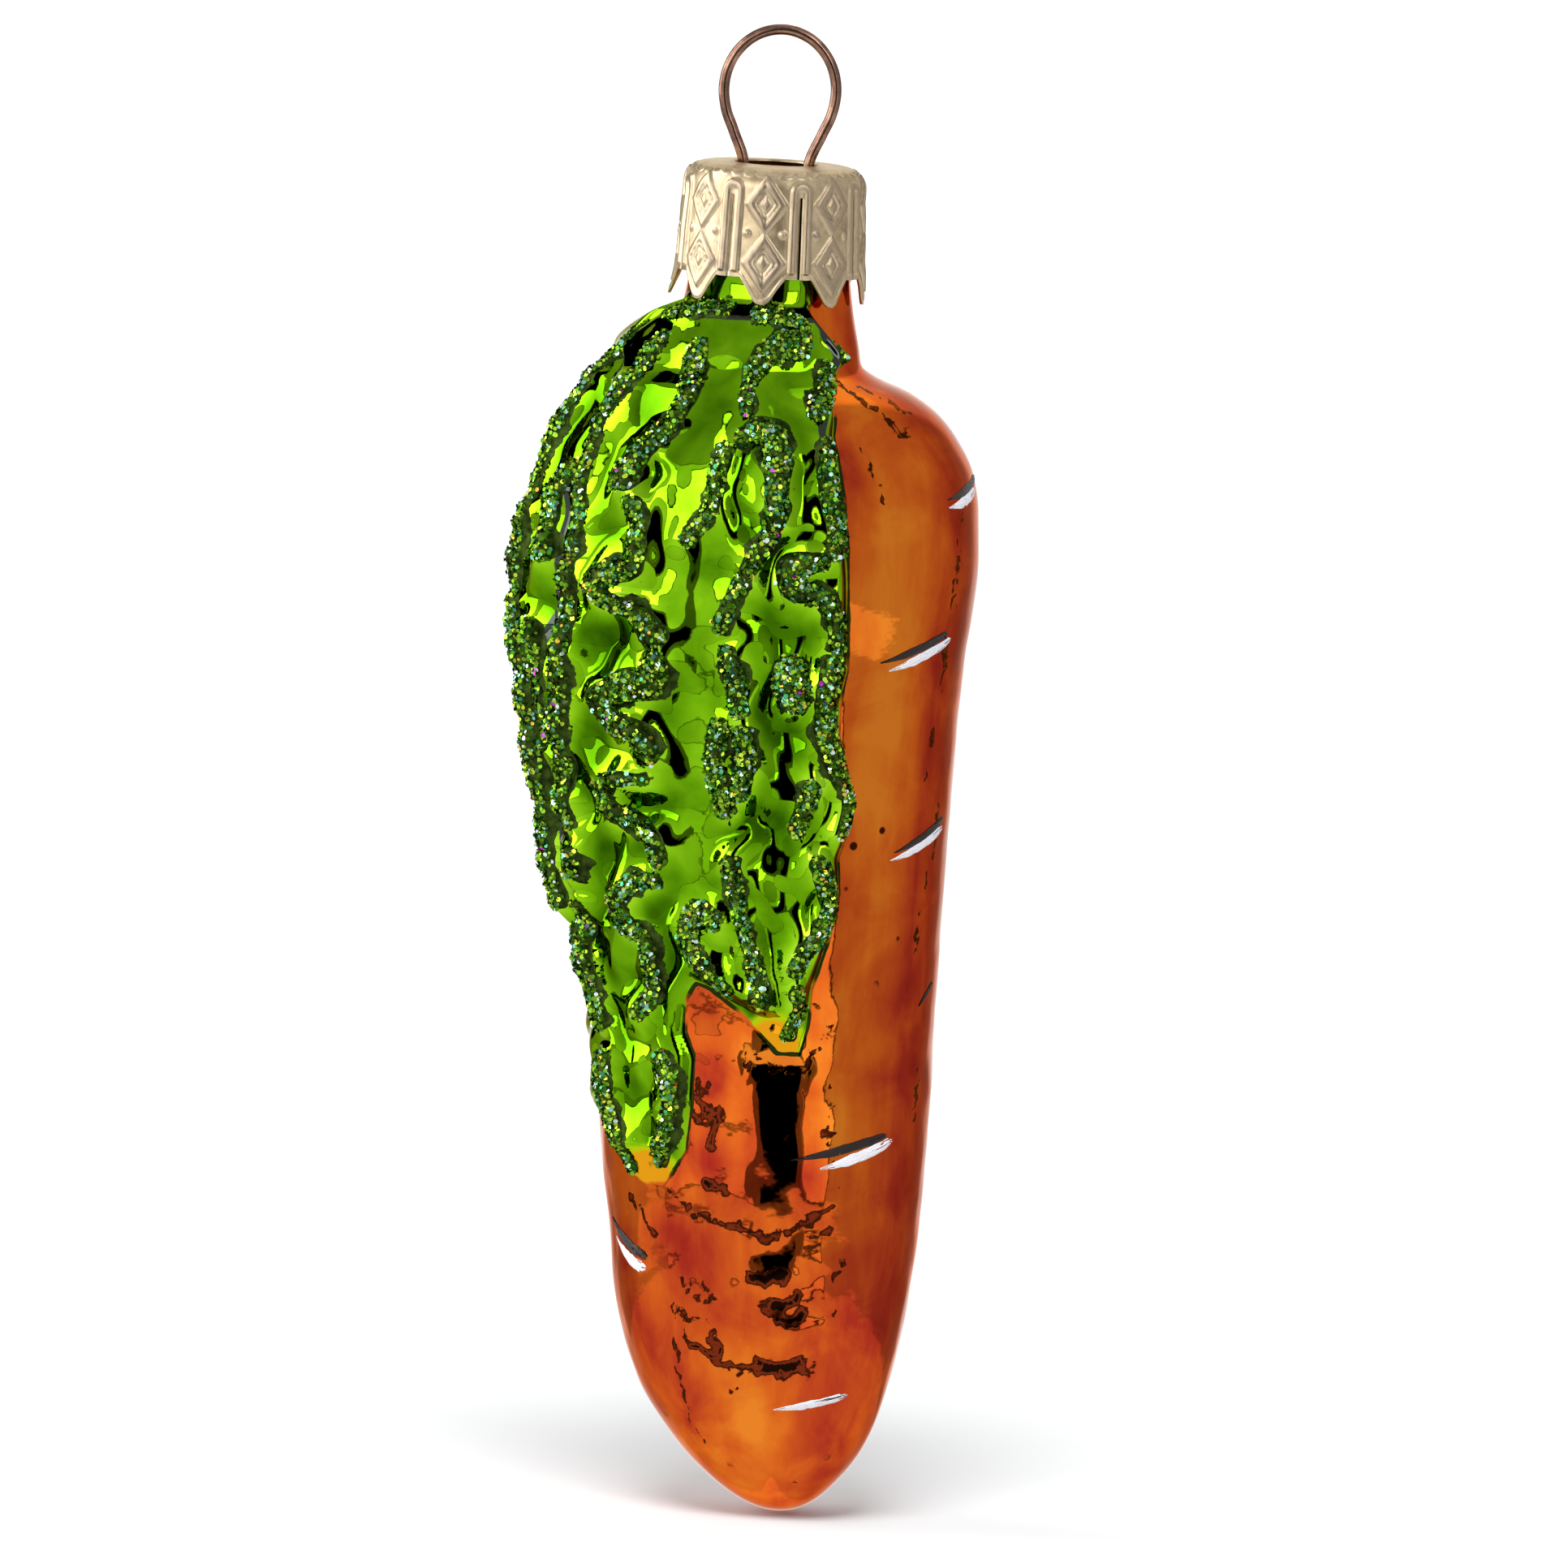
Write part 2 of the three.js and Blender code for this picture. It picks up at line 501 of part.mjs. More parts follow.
// One panel's embossing: two crossed bands that make stacked lozenges, cut off at the shoulder, and studs
function panelEmbossing() {
  const w = LOZENGE_HALF_WIDTH;
  const waist = CAP_TOP_Z - WAIST_BELOW_TOP;
  const centres = [waist + LOZENGE_HALF_HEIGHT, waist - LOZENGE_HALF_HEIGHT];
  const top = CAP_TOP_Z - 0.7 * SHOULDER_R;
  const topHalfWidth = w * (1 - (top - centres[0]) / LOZENGE_HALF_HEIGHT);
  const pinch = BAND_WIDTH / 2;
  const side = (sign) => [
    [sign * topHalfWidth, top], [sign * w, centres[0]], [sign * pinch, waist], [sign * w, centres[1]],
  ];
  const band = polygon([...side(1), [0, waist - 2 * LOZENGE_HALF_HEIGHT], ...side(-1).reverse()]);
  const hollow = (z) => lozenge(z, w - 1.3 * BAND_WIDTH, LOZENGE_HALF_HEIGHT - 1.8 * BAND_WIDTH);
  band.holes.push(...centres.map(hollow));
  const studs = [-1, 1].map((sign) => {
    const stud = new THREE.Shape();
    stud.absarc(sign * 0.85 * w, waist, STUD_R, 0, 2 * Math.PI);
    return stud;
  });
  const seeds = centres.map((z) => lozenge(z, 0.35 * w, 0.4 * LOZENGE_HALF_HEIGHT));
  return [band, ...seeds, ...studs];
}

// A rib on each side of the slit, joined by an arch over it
function archedRibs(x) {
  const low = SKIRT_Z + RIB_WIDTH;
  const high = CAP_TOP_Z - 0.75 * SHOULDER_R - RIB_OFFSET;
  const [inner, outer] = [RIB_OFFSET - RIB_WIDTH / 2, RIB_OFFSET + RIB_WIDTH / 2];
  const ribs = new THREE.Shape();
  ribs.moveTo(x - outer, low);
  ribs.lineTo(x - outer, high);
  ribs.absarc(x, high, outer, Math.PI, 0, true);
  ribs.lineTo(x + outer, low);
  ribs.lineTo(x + inner, low);
  ribs.lineTo(x + inner, high);
  ribs.absarc(x, high, inner, 0, Math.PI, false);
  ribs.lineTo(x - inner, low);
  return ribs;
}

function cap() {
  const pitch = (2 * Math.PI * CAP_R) / PETALS;
  const tip = SKIRT_Z - 1.6 * PETAL_DROP;
  const notch = polygon([
    [PETAL_HALF_WIDTH, SKIRT_Z], [pitch - PETAL_HALF_WIDTH, SKIRT_Z],
    [pitch - PETAL_TIP_HALF_WIDTH, SKIRT_Z - PETAL_DROP], [pitch - PETAL_TIP_HALF_WIDTH, tip],
    [PETAL_TIP_HALF_WIDTH, tip], [PETAL_TIP_HALF_WIDTH, SKIRT_Z - PETAL_DROP],
  ]);
  const slit = strip(pitch / 2, SLIT_WIDTH, SKIRT_Z - 0.6 * PETAL_DROP, SKIRT_Z + SLIT_LENGTH);
  let solid = capShell();
  for (let panel = 0; panel < PETALS; panel += 1) {
    const deg = PANEL_TURN_DEG + (360 / PETALS) * panel;
    solid = solid.subtract(onCap(notch, deg, -3 * SHEET, 2 * SHEET));
    solid = solid.subtract(onCap(slit, deg, -3 * SHEET, 2 * SHEET));
    [...panelEmbossing(), archedRibs(pitch / 2)].forEach((shape) => {
      solid = solid.add(onCap(shape, deg, -SHEET / 2, EMBOSS));
    });
  }
  return meshOf('cap', geometryOf(solid), MATERIALS.cap);
}

// The highest glass near a point, so that a glitter line clears the facets under it
function seatRadius(deg, z) {
  const turn = SEAT_REACH / (halfWidthAt(z) * DEG);
  return Math.max(...[[0, 0], [turn, 0], [-turn, 0], [0, SEAT_REACH], [0, -SEAT_REACH]]
    .map(([dDeg, dz]) => glassRadius(deg + dDeg, z + dz)));
}

// Flat path of a glitter line, in mm, and at each of its stations the direction and the room on each side
function glitterStations(route) {
  const path = new THREE.SplineCurve(route.map(([deg, percent]) => (
    new THREE.Vector2(deg * LEAF_PLANE_MM_PER_DEG, zOfPercent(percent)))));
  const steps = Math.max(2, Math.round(path.getLength() / GLITTER_STEP));
  return Array.from({ length: steps + 1 }, (_, i) => {
    const along = path.getTangentAt(i / steps);
    const before = path.getTangentAt(Math.max(0, i - 1) / steps);
    const after = path.getTangentAt(Math.min(steps, i + 1) / steps);
    const bend = before.cross(after) / (2 * GLITTER_STEP);
    return { at: path.getPointAt(i / steps), along, bend, end: i === 0 || i === steps };
  });
}

// A raised line laid over the glass, domed across and rounded at its ends
function glitterLine([name, share, route]) {
  const section = [[-0.5, 0], [-0.36, 0.75], [0, 1], [0.36, 0.75], [0.5, 0]];
  const stations = glitterStations(route);
  const vertices = [];
  const triangles = [];
  stations.forEach(({ at, along, bend, end }) => {
    const mmPerDeg = halfWidthAt(at.y) * DEG;
    const width = GLITTER_WIDTH * share * (end ? 0.55 : 1);
    const height = GLITTER_HEIGHT * (end ? 0.75 : 1);
    const place = (across) => {
      const room = across * bend > 0 ? 0.7 / Math.abs(bend) : Infinity;
      const offset = Math.sign(across) * Math.min(Math.abs(across) * width, room);
      const deg = at.x / LEAF_PLANE_MM_PER_DEG - (along.y * offset) / mmPerDeg;
      return { deg, z: at.y + along.x * offset };
    };
    const seatAt = (across) => {
      const { deg, z } = place(across);
      return seatRadius(deg, z);
    };
    const [left, right] = [seatAt(-0.5), seatAt(0.5)];
    const chord = (across) => left + (right - left) * (across + 0.5);
    const lift = Math.max(0, ...[-0.25, 0, 0.25].map((across) => seatAt(across) - chord(across)));
    section.forEach(([across, up]) => {
      const { deg, z } = place(across);
      vertices.push(pointAt(deg, z, chord(across) + lift + GAP + up * height));
    });
  });
  const n = section.length;
  for (let i = 0; i < stations.length - 1; i += 1) {
    for (let k = 0; k < n; k += 1) {
      const a = i * n + k;
      const b = i * n + ((k + 1) % n);
      triangles.push([b, a, b + n], [b + n, a, a + n]);
    }
  }
  const last = (stations.length - 1) * n;
  for (let k = 1; k < n - 1; k += 1) triangles.push([0, k, k + 1], [last, last + k + 1, last + k]);
  return meshOf(name, bufferOf(vertices, triangles), MATERIALS.glitter);
}

const group = new THREE.Group();
group.add(glassShell(), cap(), hangerWire(), ...GLITTER.map(glitterLine));

export default group;
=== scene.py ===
"""Looks of a blown-glass carrot ornament: lacquered glass, stamped cap, wire loop and glitter lines.

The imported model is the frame. Shapes are worked out in millimetres, as the part's source does,
and turned to metres where a mesh is made. -Y is the front and +Z runs up the neck.
"""

import math

import bmesh
import bpy
import numpy as np
from mathutils import Matrix, Vector


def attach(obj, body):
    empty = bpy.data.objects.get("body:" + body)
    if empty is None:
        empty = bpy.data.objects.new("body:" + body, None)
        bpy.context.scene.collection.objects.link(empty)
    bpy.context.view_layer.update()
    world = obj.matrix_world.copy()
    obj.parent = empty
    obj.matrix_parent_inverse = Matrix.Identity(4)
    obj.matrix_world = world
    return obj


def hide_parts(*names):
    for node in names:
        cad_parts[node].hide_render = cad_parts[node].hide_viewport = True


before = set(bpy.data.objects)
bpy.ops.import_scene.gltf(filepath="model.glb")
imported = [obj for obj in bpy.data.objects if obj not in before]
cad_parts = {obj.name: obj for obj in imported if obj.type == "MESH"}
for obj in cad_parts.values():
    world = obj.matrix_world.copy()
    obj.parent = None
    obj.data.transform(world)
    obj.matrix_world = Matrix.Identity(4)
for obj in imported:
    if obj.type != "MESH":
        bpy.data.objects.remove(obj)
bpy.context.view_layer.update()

MM = 0.001
DEG = math.pi / 180

# Driving sizes of the part, mm
GAP = 0.3
WIRE_R = 0.4
LOOP_HALF_WIDTH = 4.15
LOOP_HALF_HEIGHT = 4.5
LOOP_TO_CAP = 5.45
LEG_HALF_SPACING = 2.4
LEG_DEPTH = 8.6
SHEET = 0.3
CAP_HEIGHT = 8.05
CAP_FLARE = 0.33
SHOULDER_R = 1.5
PETALS = 8
PANEL_TURN_DEG = -4.7
PETAL_DROP = 2
PETAL_HALF_WIDTH = 1.65
PETAL_TIP_HALF_WIDTH = 0.5
SLIT_LENGTH = 6.1
EMBOSS = 0.18
BAND_WIDTH = 0.5
LOZENGE_HALF_WIDTH = 1.55
LOZENGE_HALF_HEIGHT = 2.17
WAIST_BELOW_TOP = 4.75
STUD_R = 0.28
RIB_OFFSET = 0.55
RIB_WIDTH = 0.5
WALL = 1.0
NECK_R = 5.7
LIP_ROUNDING = 0.55
NECK_LENGTH = 9.85
NECK_SWELL = 0.2
NECK_FOOT_R = 6.3
NECK_BLEND = 3.5
CAP_TO_NECK = 0.6
ROOT_LENGTH = 89.9
ROOT_HALF_WIDTH = 16.1
ROOT_DEPTH_RATIO = 0.93
ROOT_SWAY = 5.7
LEAF_LENGTH = 65
LEAF_SWELL = 3.8
LEAF_EDGE_WIDTH = 1.1
RIM_BEAD = 0.3
RIM_BEAD_WIDTH = 0.8
MIDRIB_DEPTH = 0.55
MIDRIB_WIDTH = 1.7
MIDRIB_FADE = 3
FOLD_DEPTH = 0.75
FOLD_WIDTH = 0.9
FULL_RELIEF_SWELL = 1
CRINKLE = 0.42
CRINKLE_PITCH_ROUND = 6.6
CRINKLE_PITCH_DOWN = 7.6
GLITTER_WIDTH = 2.2

LOOP_CENTRE_Z = WIRE_R - LOOP_HALF_HEIGHT
CAP_TOP_Z = LOOP_CENTRE_Z - LOOP_TO_CAP
SKIRT_Z = CAP_TOP_Z - CAP_HEIGHT
MOUTH_Z = CAP_TOP_Z - SHEET - GAP
FOOT_Z = MOUTH_Z - NECK_LENGTH
TIP_Z = FOOT_Z - ROOT_LENGTH
CAP_R = NECK_R + CAP_TO_NECK + SHEET
HOLE_R = LEG_HALF_SPACING + WIRE_R + GAP
BORE_R = NECK_R - WALL

# Root stations: share of the length below the neck's foot, of the half width, and of the sway
ROOT_STATIONS = [
    (0.033, 0.43, 0), (0.046, 0.445, 0), (0.056, 0.52, 0.01), (0.066, 0.66, 0.015),
    (0.084, 0.808, 0.025), (0.103, 0.893, 0.035), (0.13, 0.97, 0.045), (0.16, 0.998, 0.06),
    (0.195, 1, 0.095), (0.29, 0.93, 0.185), (0.424, 0.86, 0.31), (0.558, 0.803, 0.43),
    (0.692, 0.756, 0.55), (0.781, 0.706, 0.615), (0.837, 0.664, 0.645), (0.893, 0.58, 0.7),
    (0.94, 0.45, 0.83), (0.979, 0.26, 0.93), (1, 0, 1),
]
# Leaf stations: percent of the leaf's length below the neck's foot, and share of the swell
LEAF_LEFT = [
    (-1, 0), (0, 0.3), (2, 0.66), (6, 1.12), (8, 0.98), (9.6, 0.54), (12, 0.24), (17, 0.13),
    (22.5, 0.24), (30, 0.55), (36.5, 0.8), (42, 0.85), (50, 0.8), (59, 0.66), (65, 0.58), (70, 0.45),
    (76, 0.26), (82, 0.16), (98, 0.13),
]
LEAF_RIGHT = [
    (-1, 0), (0, 0.22), (3, 0.62), (7, 0.8), (9.6, 0.45), (12.6, 0.28), (21, 0.25), (61, 0.28),
    (98, 0.18),
]
LEAF_LEFT_DEG = -75
LEAF_RIGHT_DEG = 25
# Outline of the leaf: percent of the leaf's length, degrees round from the front
RIGHT_BORDER = [
    (-1, 28), (3, 39), (5, 43), (7.5, 34), (10, 27), (13, 23), (18, 23), (25, 24), (33, 25), (39.5, 26),
    (43, 24), (47, 24), (51, 26), (54.5, 30), (58, 28), (61, 25), (65, 26), (68.5, 24), (72, 21),
    (76, 17), (80, 16), (83.5, 13),
]
LOBES = [
    (83.5, 5), (79, -8), (76.5, -19), (76, -24), (78, -28), (82, -29), (84.5, -26), (90, -27),
    (95.5, -30), (99.5, -39), (100, -50), (99, -56), (97, -65), (94, -72), (92, -95),
]
BACK_BORDER = [
    (87, -110), (77, -118), (61, -128), (46, -130), (34, -126), (21.5, -128), (9, -118), (2.5, -100),
    (-1, -75),
]
MIDRIB = [(0, -19), (10, -17), (28, -16), (47, -18), (65, -21), (76, -25)]
FOLD = [(0, -66), (4.5, -75), (9, -63), (17, -57), (28, -58), (41, -65), (49, -70), (62, -74)]
LEAF_PLANE_MM_PER_DEG = ROOT_HALF_WIDTH * DEG * 0.96

# Glitter lines: name, share of the usual width, and points as (degrees round, percent down the leaf, share
# of the line's width there)
GLITTER = [
    ("front_edge", 0.9, [
        (-50, 3.5, 1.1), (-54, 9, 0.9), (-56, 13.5, 0.62), (-54, 20, 0.52), (-53, 29, 0.6),
        (-57, 42, 0.85), (-61, 50, 0.85), (-62, 56, 0.75), (-61, 59.5, 0.5),
    ]),
    ("left_edge", 0.82, [
        (-75, 3, 0.8), (-80, 8, 0.8), (-79, 13, 0.8), (-78, 20, 0.75), (-80, 30, 0.85), (-80, 42, 1.1),
        (-79, 50, 1.2), (-82, 58, 0.9), (-82, 69.5, 0.8),
    ]),
    ("blob_vein", 1.15, [
        (-31, 4.2, 1.02), (-28.5, 7, 1.02), (-27, 9.5, 0.78), (-30, 13, 0.62), (-37, 16.5, 0.7),
        (-40, 19.5, 0.95),
    ]),
    ("zigzag_1", 1.05, [
        (-36, 21.5, 0.66), (-33, 25, 0.66), (-33.5, 28.5, 0.7), (-39, 29.5, 0.78), (-44, 31, 0.78),
        (-40, 33, 0.58), (-32, 34, 0.6), (-27, 37, 0.85),
    ]),
    ("zigzag_2", 1.15, [
        (-27.5, 39, 0.75), (-31, 42, 0.85), (-37, 42.5, 0.92), (-44, 44.5, 0.82), (-41, 47, 0.68),
        (-33, 47.8, 0.62), (-31.5, 50.5, 0.8),
    ]),
    ("zigzag_3", 1.05, [
        (-33, 53, 0.34), (-41, 53.2, 0.5), (-47.5, 55, 0.85), (-43, 57, 0.62), (-36, 58.5, 0.6),
        (-32, 60, 0.68), (-31.5, 62.5, 0.64),
    ]),
    ("zigzag_4", 1.05, [
        (-32, 64.7, 0.4), (-39, 65, 0.66), (-45, 67.5, 0.72), (-44, 70, 0.7), (-38, 71.5, 0.6),
        (-37, 74, 0.5), (-39, 78, 0.56), (-44, 80.5, 0.5),
    ]),
    ("left_lobe", 1.1, [
        (-36, 85, 0.88), (-33, 88, 0.82), (-34, 92, 0.62), (-37.5, 95, 0.64), (-40.5, 97, 0.6),
    ]),
    ("lower_left_edge", 0.9, [
        (-63, 69, 0.85), (-67, 73.5, 0.8), (-65, 82.5, 1),
    ]),
    ("lobe_left_edge", 0.9, [
        (-64, 86, 1), (-64, 91, 0.95), (-58, 95.5, 0.8), (-55.5, 98.5, 0.6),
    ]),
    ("small_left", 0.95, [
        (-59, 62.6, 0.8), (-63, 65, 0.85),
    ]),
    ("top_hook", 1.1, [
        (19, 1.4, 0.7), (18, 3.1, 0.8), (12.5, 3.5, 0.9), (7, 3.5, 1), (0.5, 4.6, 0.9), (-6, 7.3, 0.62),
        (-6, 10.4, 0.6),
    ]),
    ("middle_vein", 1.3, [
        (-7, 13.6, 0.55), (0, 12.6, 0.75), (3.5, 14, 0.84), (4, 19, 0.6), (2, 24, 0.52),
        (-5.5, 29.5, 0.42), (-11.5, 35, 0.46),
    ]),
    ("branch", 1, [
        (-10.5, 14.6, 0.55), (-12.5, 17, 0.7), (-14, 21.5, 0.5), (-20, 25.5, 0.5),
    ]),
    ("neck_right", 0.8, [
        (38, 3.2, 0.9), (39, 6, 0.9),
    ]),
    ("upper_right", 0.9, [
        (28, 5.6, 0.8), (22, 8.5, 0.75), (16, 10.4, 0.85),
    ]),
    ("right_edge_1", 1, [
        (18.5, 13.5, 0.55), (18, 18, 0.68), (20.5, 24, 0.75), (19.5, 26, 0.7),
    ]),
    ("right_hook", 1.05, [
        (16, 26.6, 0.55), (8, 27.7, 0.95), (9, 30, 0.88), (16, 31, 0.6), (20.5, 34.5, 0.65),
        (20.5, 36.6, 0.62),
    ]),
    ("right_edge_2", 1, [
        (20, 38, 0.72), (18, 43, 0.8), (18.5, 47, 0.84), (23, 51, 0.78), (26, 54, 0.55),
        (23.5, 58, 0.42),
    ]),
    ("right_edge_3", 1, [
        (16, 61, 0.7), (18, 63, 0.74), (20.5, 66, 0.7), (18.5, 69, 0.62), (13, 71.5, 0.62),
        (9.5, 74, 0.62),
    ]),
    ("right_edge_4", 1, [
        (10.5, 76, 0.66), (12, 78.5, 0.6), (7.5, 81.5, 0.5),
    ]),
    ("right_blob", 1.45, [
        (9, 39, 0.88), (8, 41, 0.92), (9, 43, 0.86),
    ]),
    ("right_small", 0.9, [
        (14.5, 52.5, 0.8), (10, 58, 0.75),
    ]),
    ("column_1", 1, [
        (-10, 37.6, 0.62), (-7.5, 40.5, 0.7), (-6.5, 44.5, 0.75),
    ]),
    ("column_2", 1.1, [
        (-12, 46, 0.7), (-13.5, 49, 0.75), (-14, 51.5, 0.65), (-11, 56, 0.75),
    ]),
    ("column_side", 1, [
        (-6, 46.6, 0.75), (-4.8, 50, 0.7), (-7, 54, 0.7),
    ]),
    ("column_3", 1, [
        (-10, 61.5, 0.75), (-7, 68, 0.6), (-1.5, 74.5, 0.6), (-2, 78, 0.8),
    ]),
    ("spiral", 1.05, [
        (-14.5, 69, 0.55), (-19, 67.5, 0.75), (-24, 69.5, 0.8), (-23.5, 72.3, 0.7), (-17.5, 75, 0.5),
        (-11, 76.8, 0.5),
    ]),
    ("left_vein_1", 0.85, [
        (-61, 18.5, 0.9), (-66, 23, 0.85), (-65, 29, 0.7),
    ]),
    ("left_vein_2", 0.82, [
        (-70, 37, 0.8), (-70, 44, 1), (-71, 51, 1),
    ]),
    ("top_rim_left", 0.75, [
        (-60, 0.9, 0.6), (-42, 0.1, 0.6), (-22, -0.1, 0.55),
    ]),
    ("top_rim_right", 0.7, [
        (-8, 0, 0.7), (8, 0.3, 0.8), (17, 0.8, 0.75),
    ]),
]


# Numbers

def smooth(low, high, x):
    """Smooth step from 0 at low to 1 at high, whichever of the two is larger."""
    t = np.clip((x - low) / (high - low), 0, 1)
    return t * t * (3 - 2 * t)


def hump(x, width):
    """1 at zero, and nearly 0 from two widths on."""
    return np.exp(-((x / width) ** 2))


def curve_through(rows, column=1):
    """Monotone cubic through rows of (position, value), constant past the ends."""
    xs = np.array([row[0] for row in rows], float)
    ys = np.array([row[column] for row in rows], float)
    slopes = np.diff(ys) / np.diff(xs)
    product = slopes[:-1] * slopes[1:]
    total = np.where(np.abs(slopes[:-1] + slopes[1:]) < 1e-12, 1, slopes[:-1] + slopes[1:])
    inner = np.where(product > 0, 2 * product / total, 0)
    tangents = np.concatenate([slopes[:1], inner, slopes[-1:]])

    def value(x):
        x = np.clip(np.asarray(x, float), xs[0], xs[-1])
        i = np.clip(np.searchsorted(xs, x, side="right") - 1, 0, len(xs) - 2)
        span = xs[i + 1] - xs[i]
        t = (x - xs[i]) / span
        rise = 3 * t ** 2 - 2 * t ** 3
        bend = tangents[i] * (t ** 3 - 2 * t ** 2 + t) + tangents[i + 1] * (t ** 3 - t ** 2)
        return ys[i] * (1 - rise) + ys[i + 1] * rise + span * bend

    return value


def noise2(x, y, seed):
    """Gradient noise of about -1 to 1, the same for the same seed."""
    table = np.random.default_rng(seed).uniform(0, 2 * math.pi, (256, 256))
    xi = np.floor(x).astype(int)
    yi = np.floor(y).astype(int)
    fx = x - xi
    fy = y - yi
    u = fx ** 3 * (fx * (fx * 6 - 15) + 10)
    v = fy ** 3 * (fy * (fy * 6 - 15) + 10)

    def corner(dx, dy):
        angle = table[(xi + dx) & 255, (yi + dy) & 255]
        return np.cos(angle) * (fx - dx) + np.sin(angle) * (fy - dy)

    low = corner(0, 0) * (1 - u) + corner(1, 0) * u
    high = corner(0, 1) * (1 - u) + corner(1, 1) * u
    return 1.5 * (low * (1 - v) + high * v)


# The glass surface, as the part's source has it, and the finer crumpling of the leaf

ROOT_PROFILE = [
    (MOUTH_Z, NECK_R - LIP_ROUNDING, 0), (MOUTH_Z - 2 * LIP_ROUNDING, NECK_R, 0),
    (MOUTH_Z - 0.7 * NECK_LENGTH, NECK_R + NECK_SWELL, 0), (FOOT_Z, NECK_FOOT_R, 0),
] + [
    (FOOT_Z - down * ROOT_LENGTH, wide * ROOT_HALF_WIDTH, aside * ROOT_SWAY)
    for down, wide, aside in ROOT_STATIONS
]
squared_half_width = curve_through([(-z, r * r) for z, r, _ in ROOT_PROFILE])
sway_below = curve_through([(-z, x) for z, _, x in ROOT_PROFILE])
right_border_at = curve_through(RIGHT_BORDER)
back_border_at = curve_through(BACK_BORDER[::-1])
midrib_at = curve_through(MIDRIB)
fold_at = curve_through(FOLD)
leaf_left_at = curve_through(LEAF_LEFT)
leaf_right_at = curve_through(LEAF_RIGHT)


def half_width(z):
    """Half the width of the neck and the root at a height."""
    return np.sqrt(np.maximum(0, squared_half_width(-np.asarray(z, float))))


def sway(z):
    """How far the axis lies to the right at a height."""
    return sway_below(-np.asarray(z, float))


def percent_down(z):
    """Percent of the leaf's length below the neck's foot."""
    return (FOOT_Z - z) / LEAF_LENGTH * 100


def z_of_percent(percent):
    return FOOT_Z - percent / 100 * LEAF_LENGTH


def root_radius(deg, z):
    """Radius of the neck and the root from the axis: round in the neck, then an ellipse."""
    a = np.maximum(half_width(z), 1e-6)
    b = a * (1 - (1 - ROOT_DEPTH_RATIO) * smooth(FOOT_Z + NECK_BLEND, FOOT_Z - NECK_BLEND, z))
    return a * b / np.hypot(b * np.sin(deg * DEG), a * np.cos(deg * DEG))


LEAF_OUTLINE = np.array([
    (deg * LEAF_PLANE_MM_PER_DEG, z_of_percent(percent))
    for percent, deg in RIGHT_BORDER + LOBES + BACK_BORDER
])


def turned(deg):
    """The same angle within half a turn of the front."""
    return ((deg + 180) % 360) - 180


def distance_in_leaf(deg, z):
    """Distance in from the leaf's outline, negative outside it."""
    x = turned(deg) * LEAF_PLANE_MM_PER_DEG
    z = np.broadcast_to(z, x.shape)
    inside = np.zeros(x.shape, bool)
    nearest = np.full(x.shape, 1e9)
    for (x1, z1), (x2, z2) in zip(LEAF_OUTLINE, np.roll(LEAF_OUTLINE, -1, axis=0)):
        if z1 != z2:
            crosses = ((z1 > z) != (z2 > z)) & (x < (x2 - x1) * (z - z1) / (z2 - z1) + x1)
            inside ^= crosses
        run, rise = x2 - x1, z2 - z1
        t = np.clip(((x - x1) * run + (z - z1) * rise) / (run ** 2 + rise ** 2), 0, 1)
        nearest = np.minimum(nearest, np.hypot(x - x1 - t * run, z - z1 - t * rise))
    return np.where(inside, nearest, -nearest)


def crinkle(across, down):
    """Broad dimples of the leaf, of about -1 to 1, as the part has them."""
    k = 2 * math.pi / CRINKLE_PITCH_ROUND
    m = 2 * math.pi / CRINKLE_PITCH_DOWN
    cells = np.sin(k * across + 1.3 * np.sin(0.7 * m * down))
    cells *= np.sin(m * down + 1.1 * np.sin(0.8 * k * across))
    folds = np.sin(1.6 * k * across - 1.1 * m * down + 1.5 * np.sin(0.5 * m * down))
    return 0.75 * cells + 0.35 * folds


# The leaf's fine folds: their height and size, and the height and width of the veins under the glitter, mm
CRUMPLE = 0.95
CRUMPLE_SIZE = 3.5
CRUMPLE_WARP = 1.6
CRUMPLE_WARP_SIZE = 5.2
VEIN_HEIGHT = 0.85
VEIN_WIDTH = 1.4
# Lattice for the veins: its cells in mm, and from where to where it goes round, in degrees
VEIN_CELL = 0.3
VEINS_FROM_DEG = -100
VEINS_TO_DEG = 60
# Points of a glitter path between two of its stations
PATH_STEPS = 40


def crumple(across, down):
    """Fine folds of the leaf, like pressed foil."""
    place = across / CRUMPLE_WARP_SIZE, down / CRUMPLE_WARP_SIZE
    warp_x = across + CRUMPLE_WARP * noise2(*place, 11)
    warp_z = down + CRUMPLE_WARP * noise2(*place, 12)
    broad = noise2(warp_x / CRUMPLE_SIZE, warp_z / (1.25 * CRUMPLE_SIZE), 13)
    fine = noise2(warp_x / (0.5 * CRUMPLE_SIZE), warp_z / (0.6 * CRUMPLE_SIZE), 14)
    creases = np.sqrt(broad ** 2 + 0.05) - 0.4
    return 0.65 * broad - 0.7 * creases + 0.09 * fine


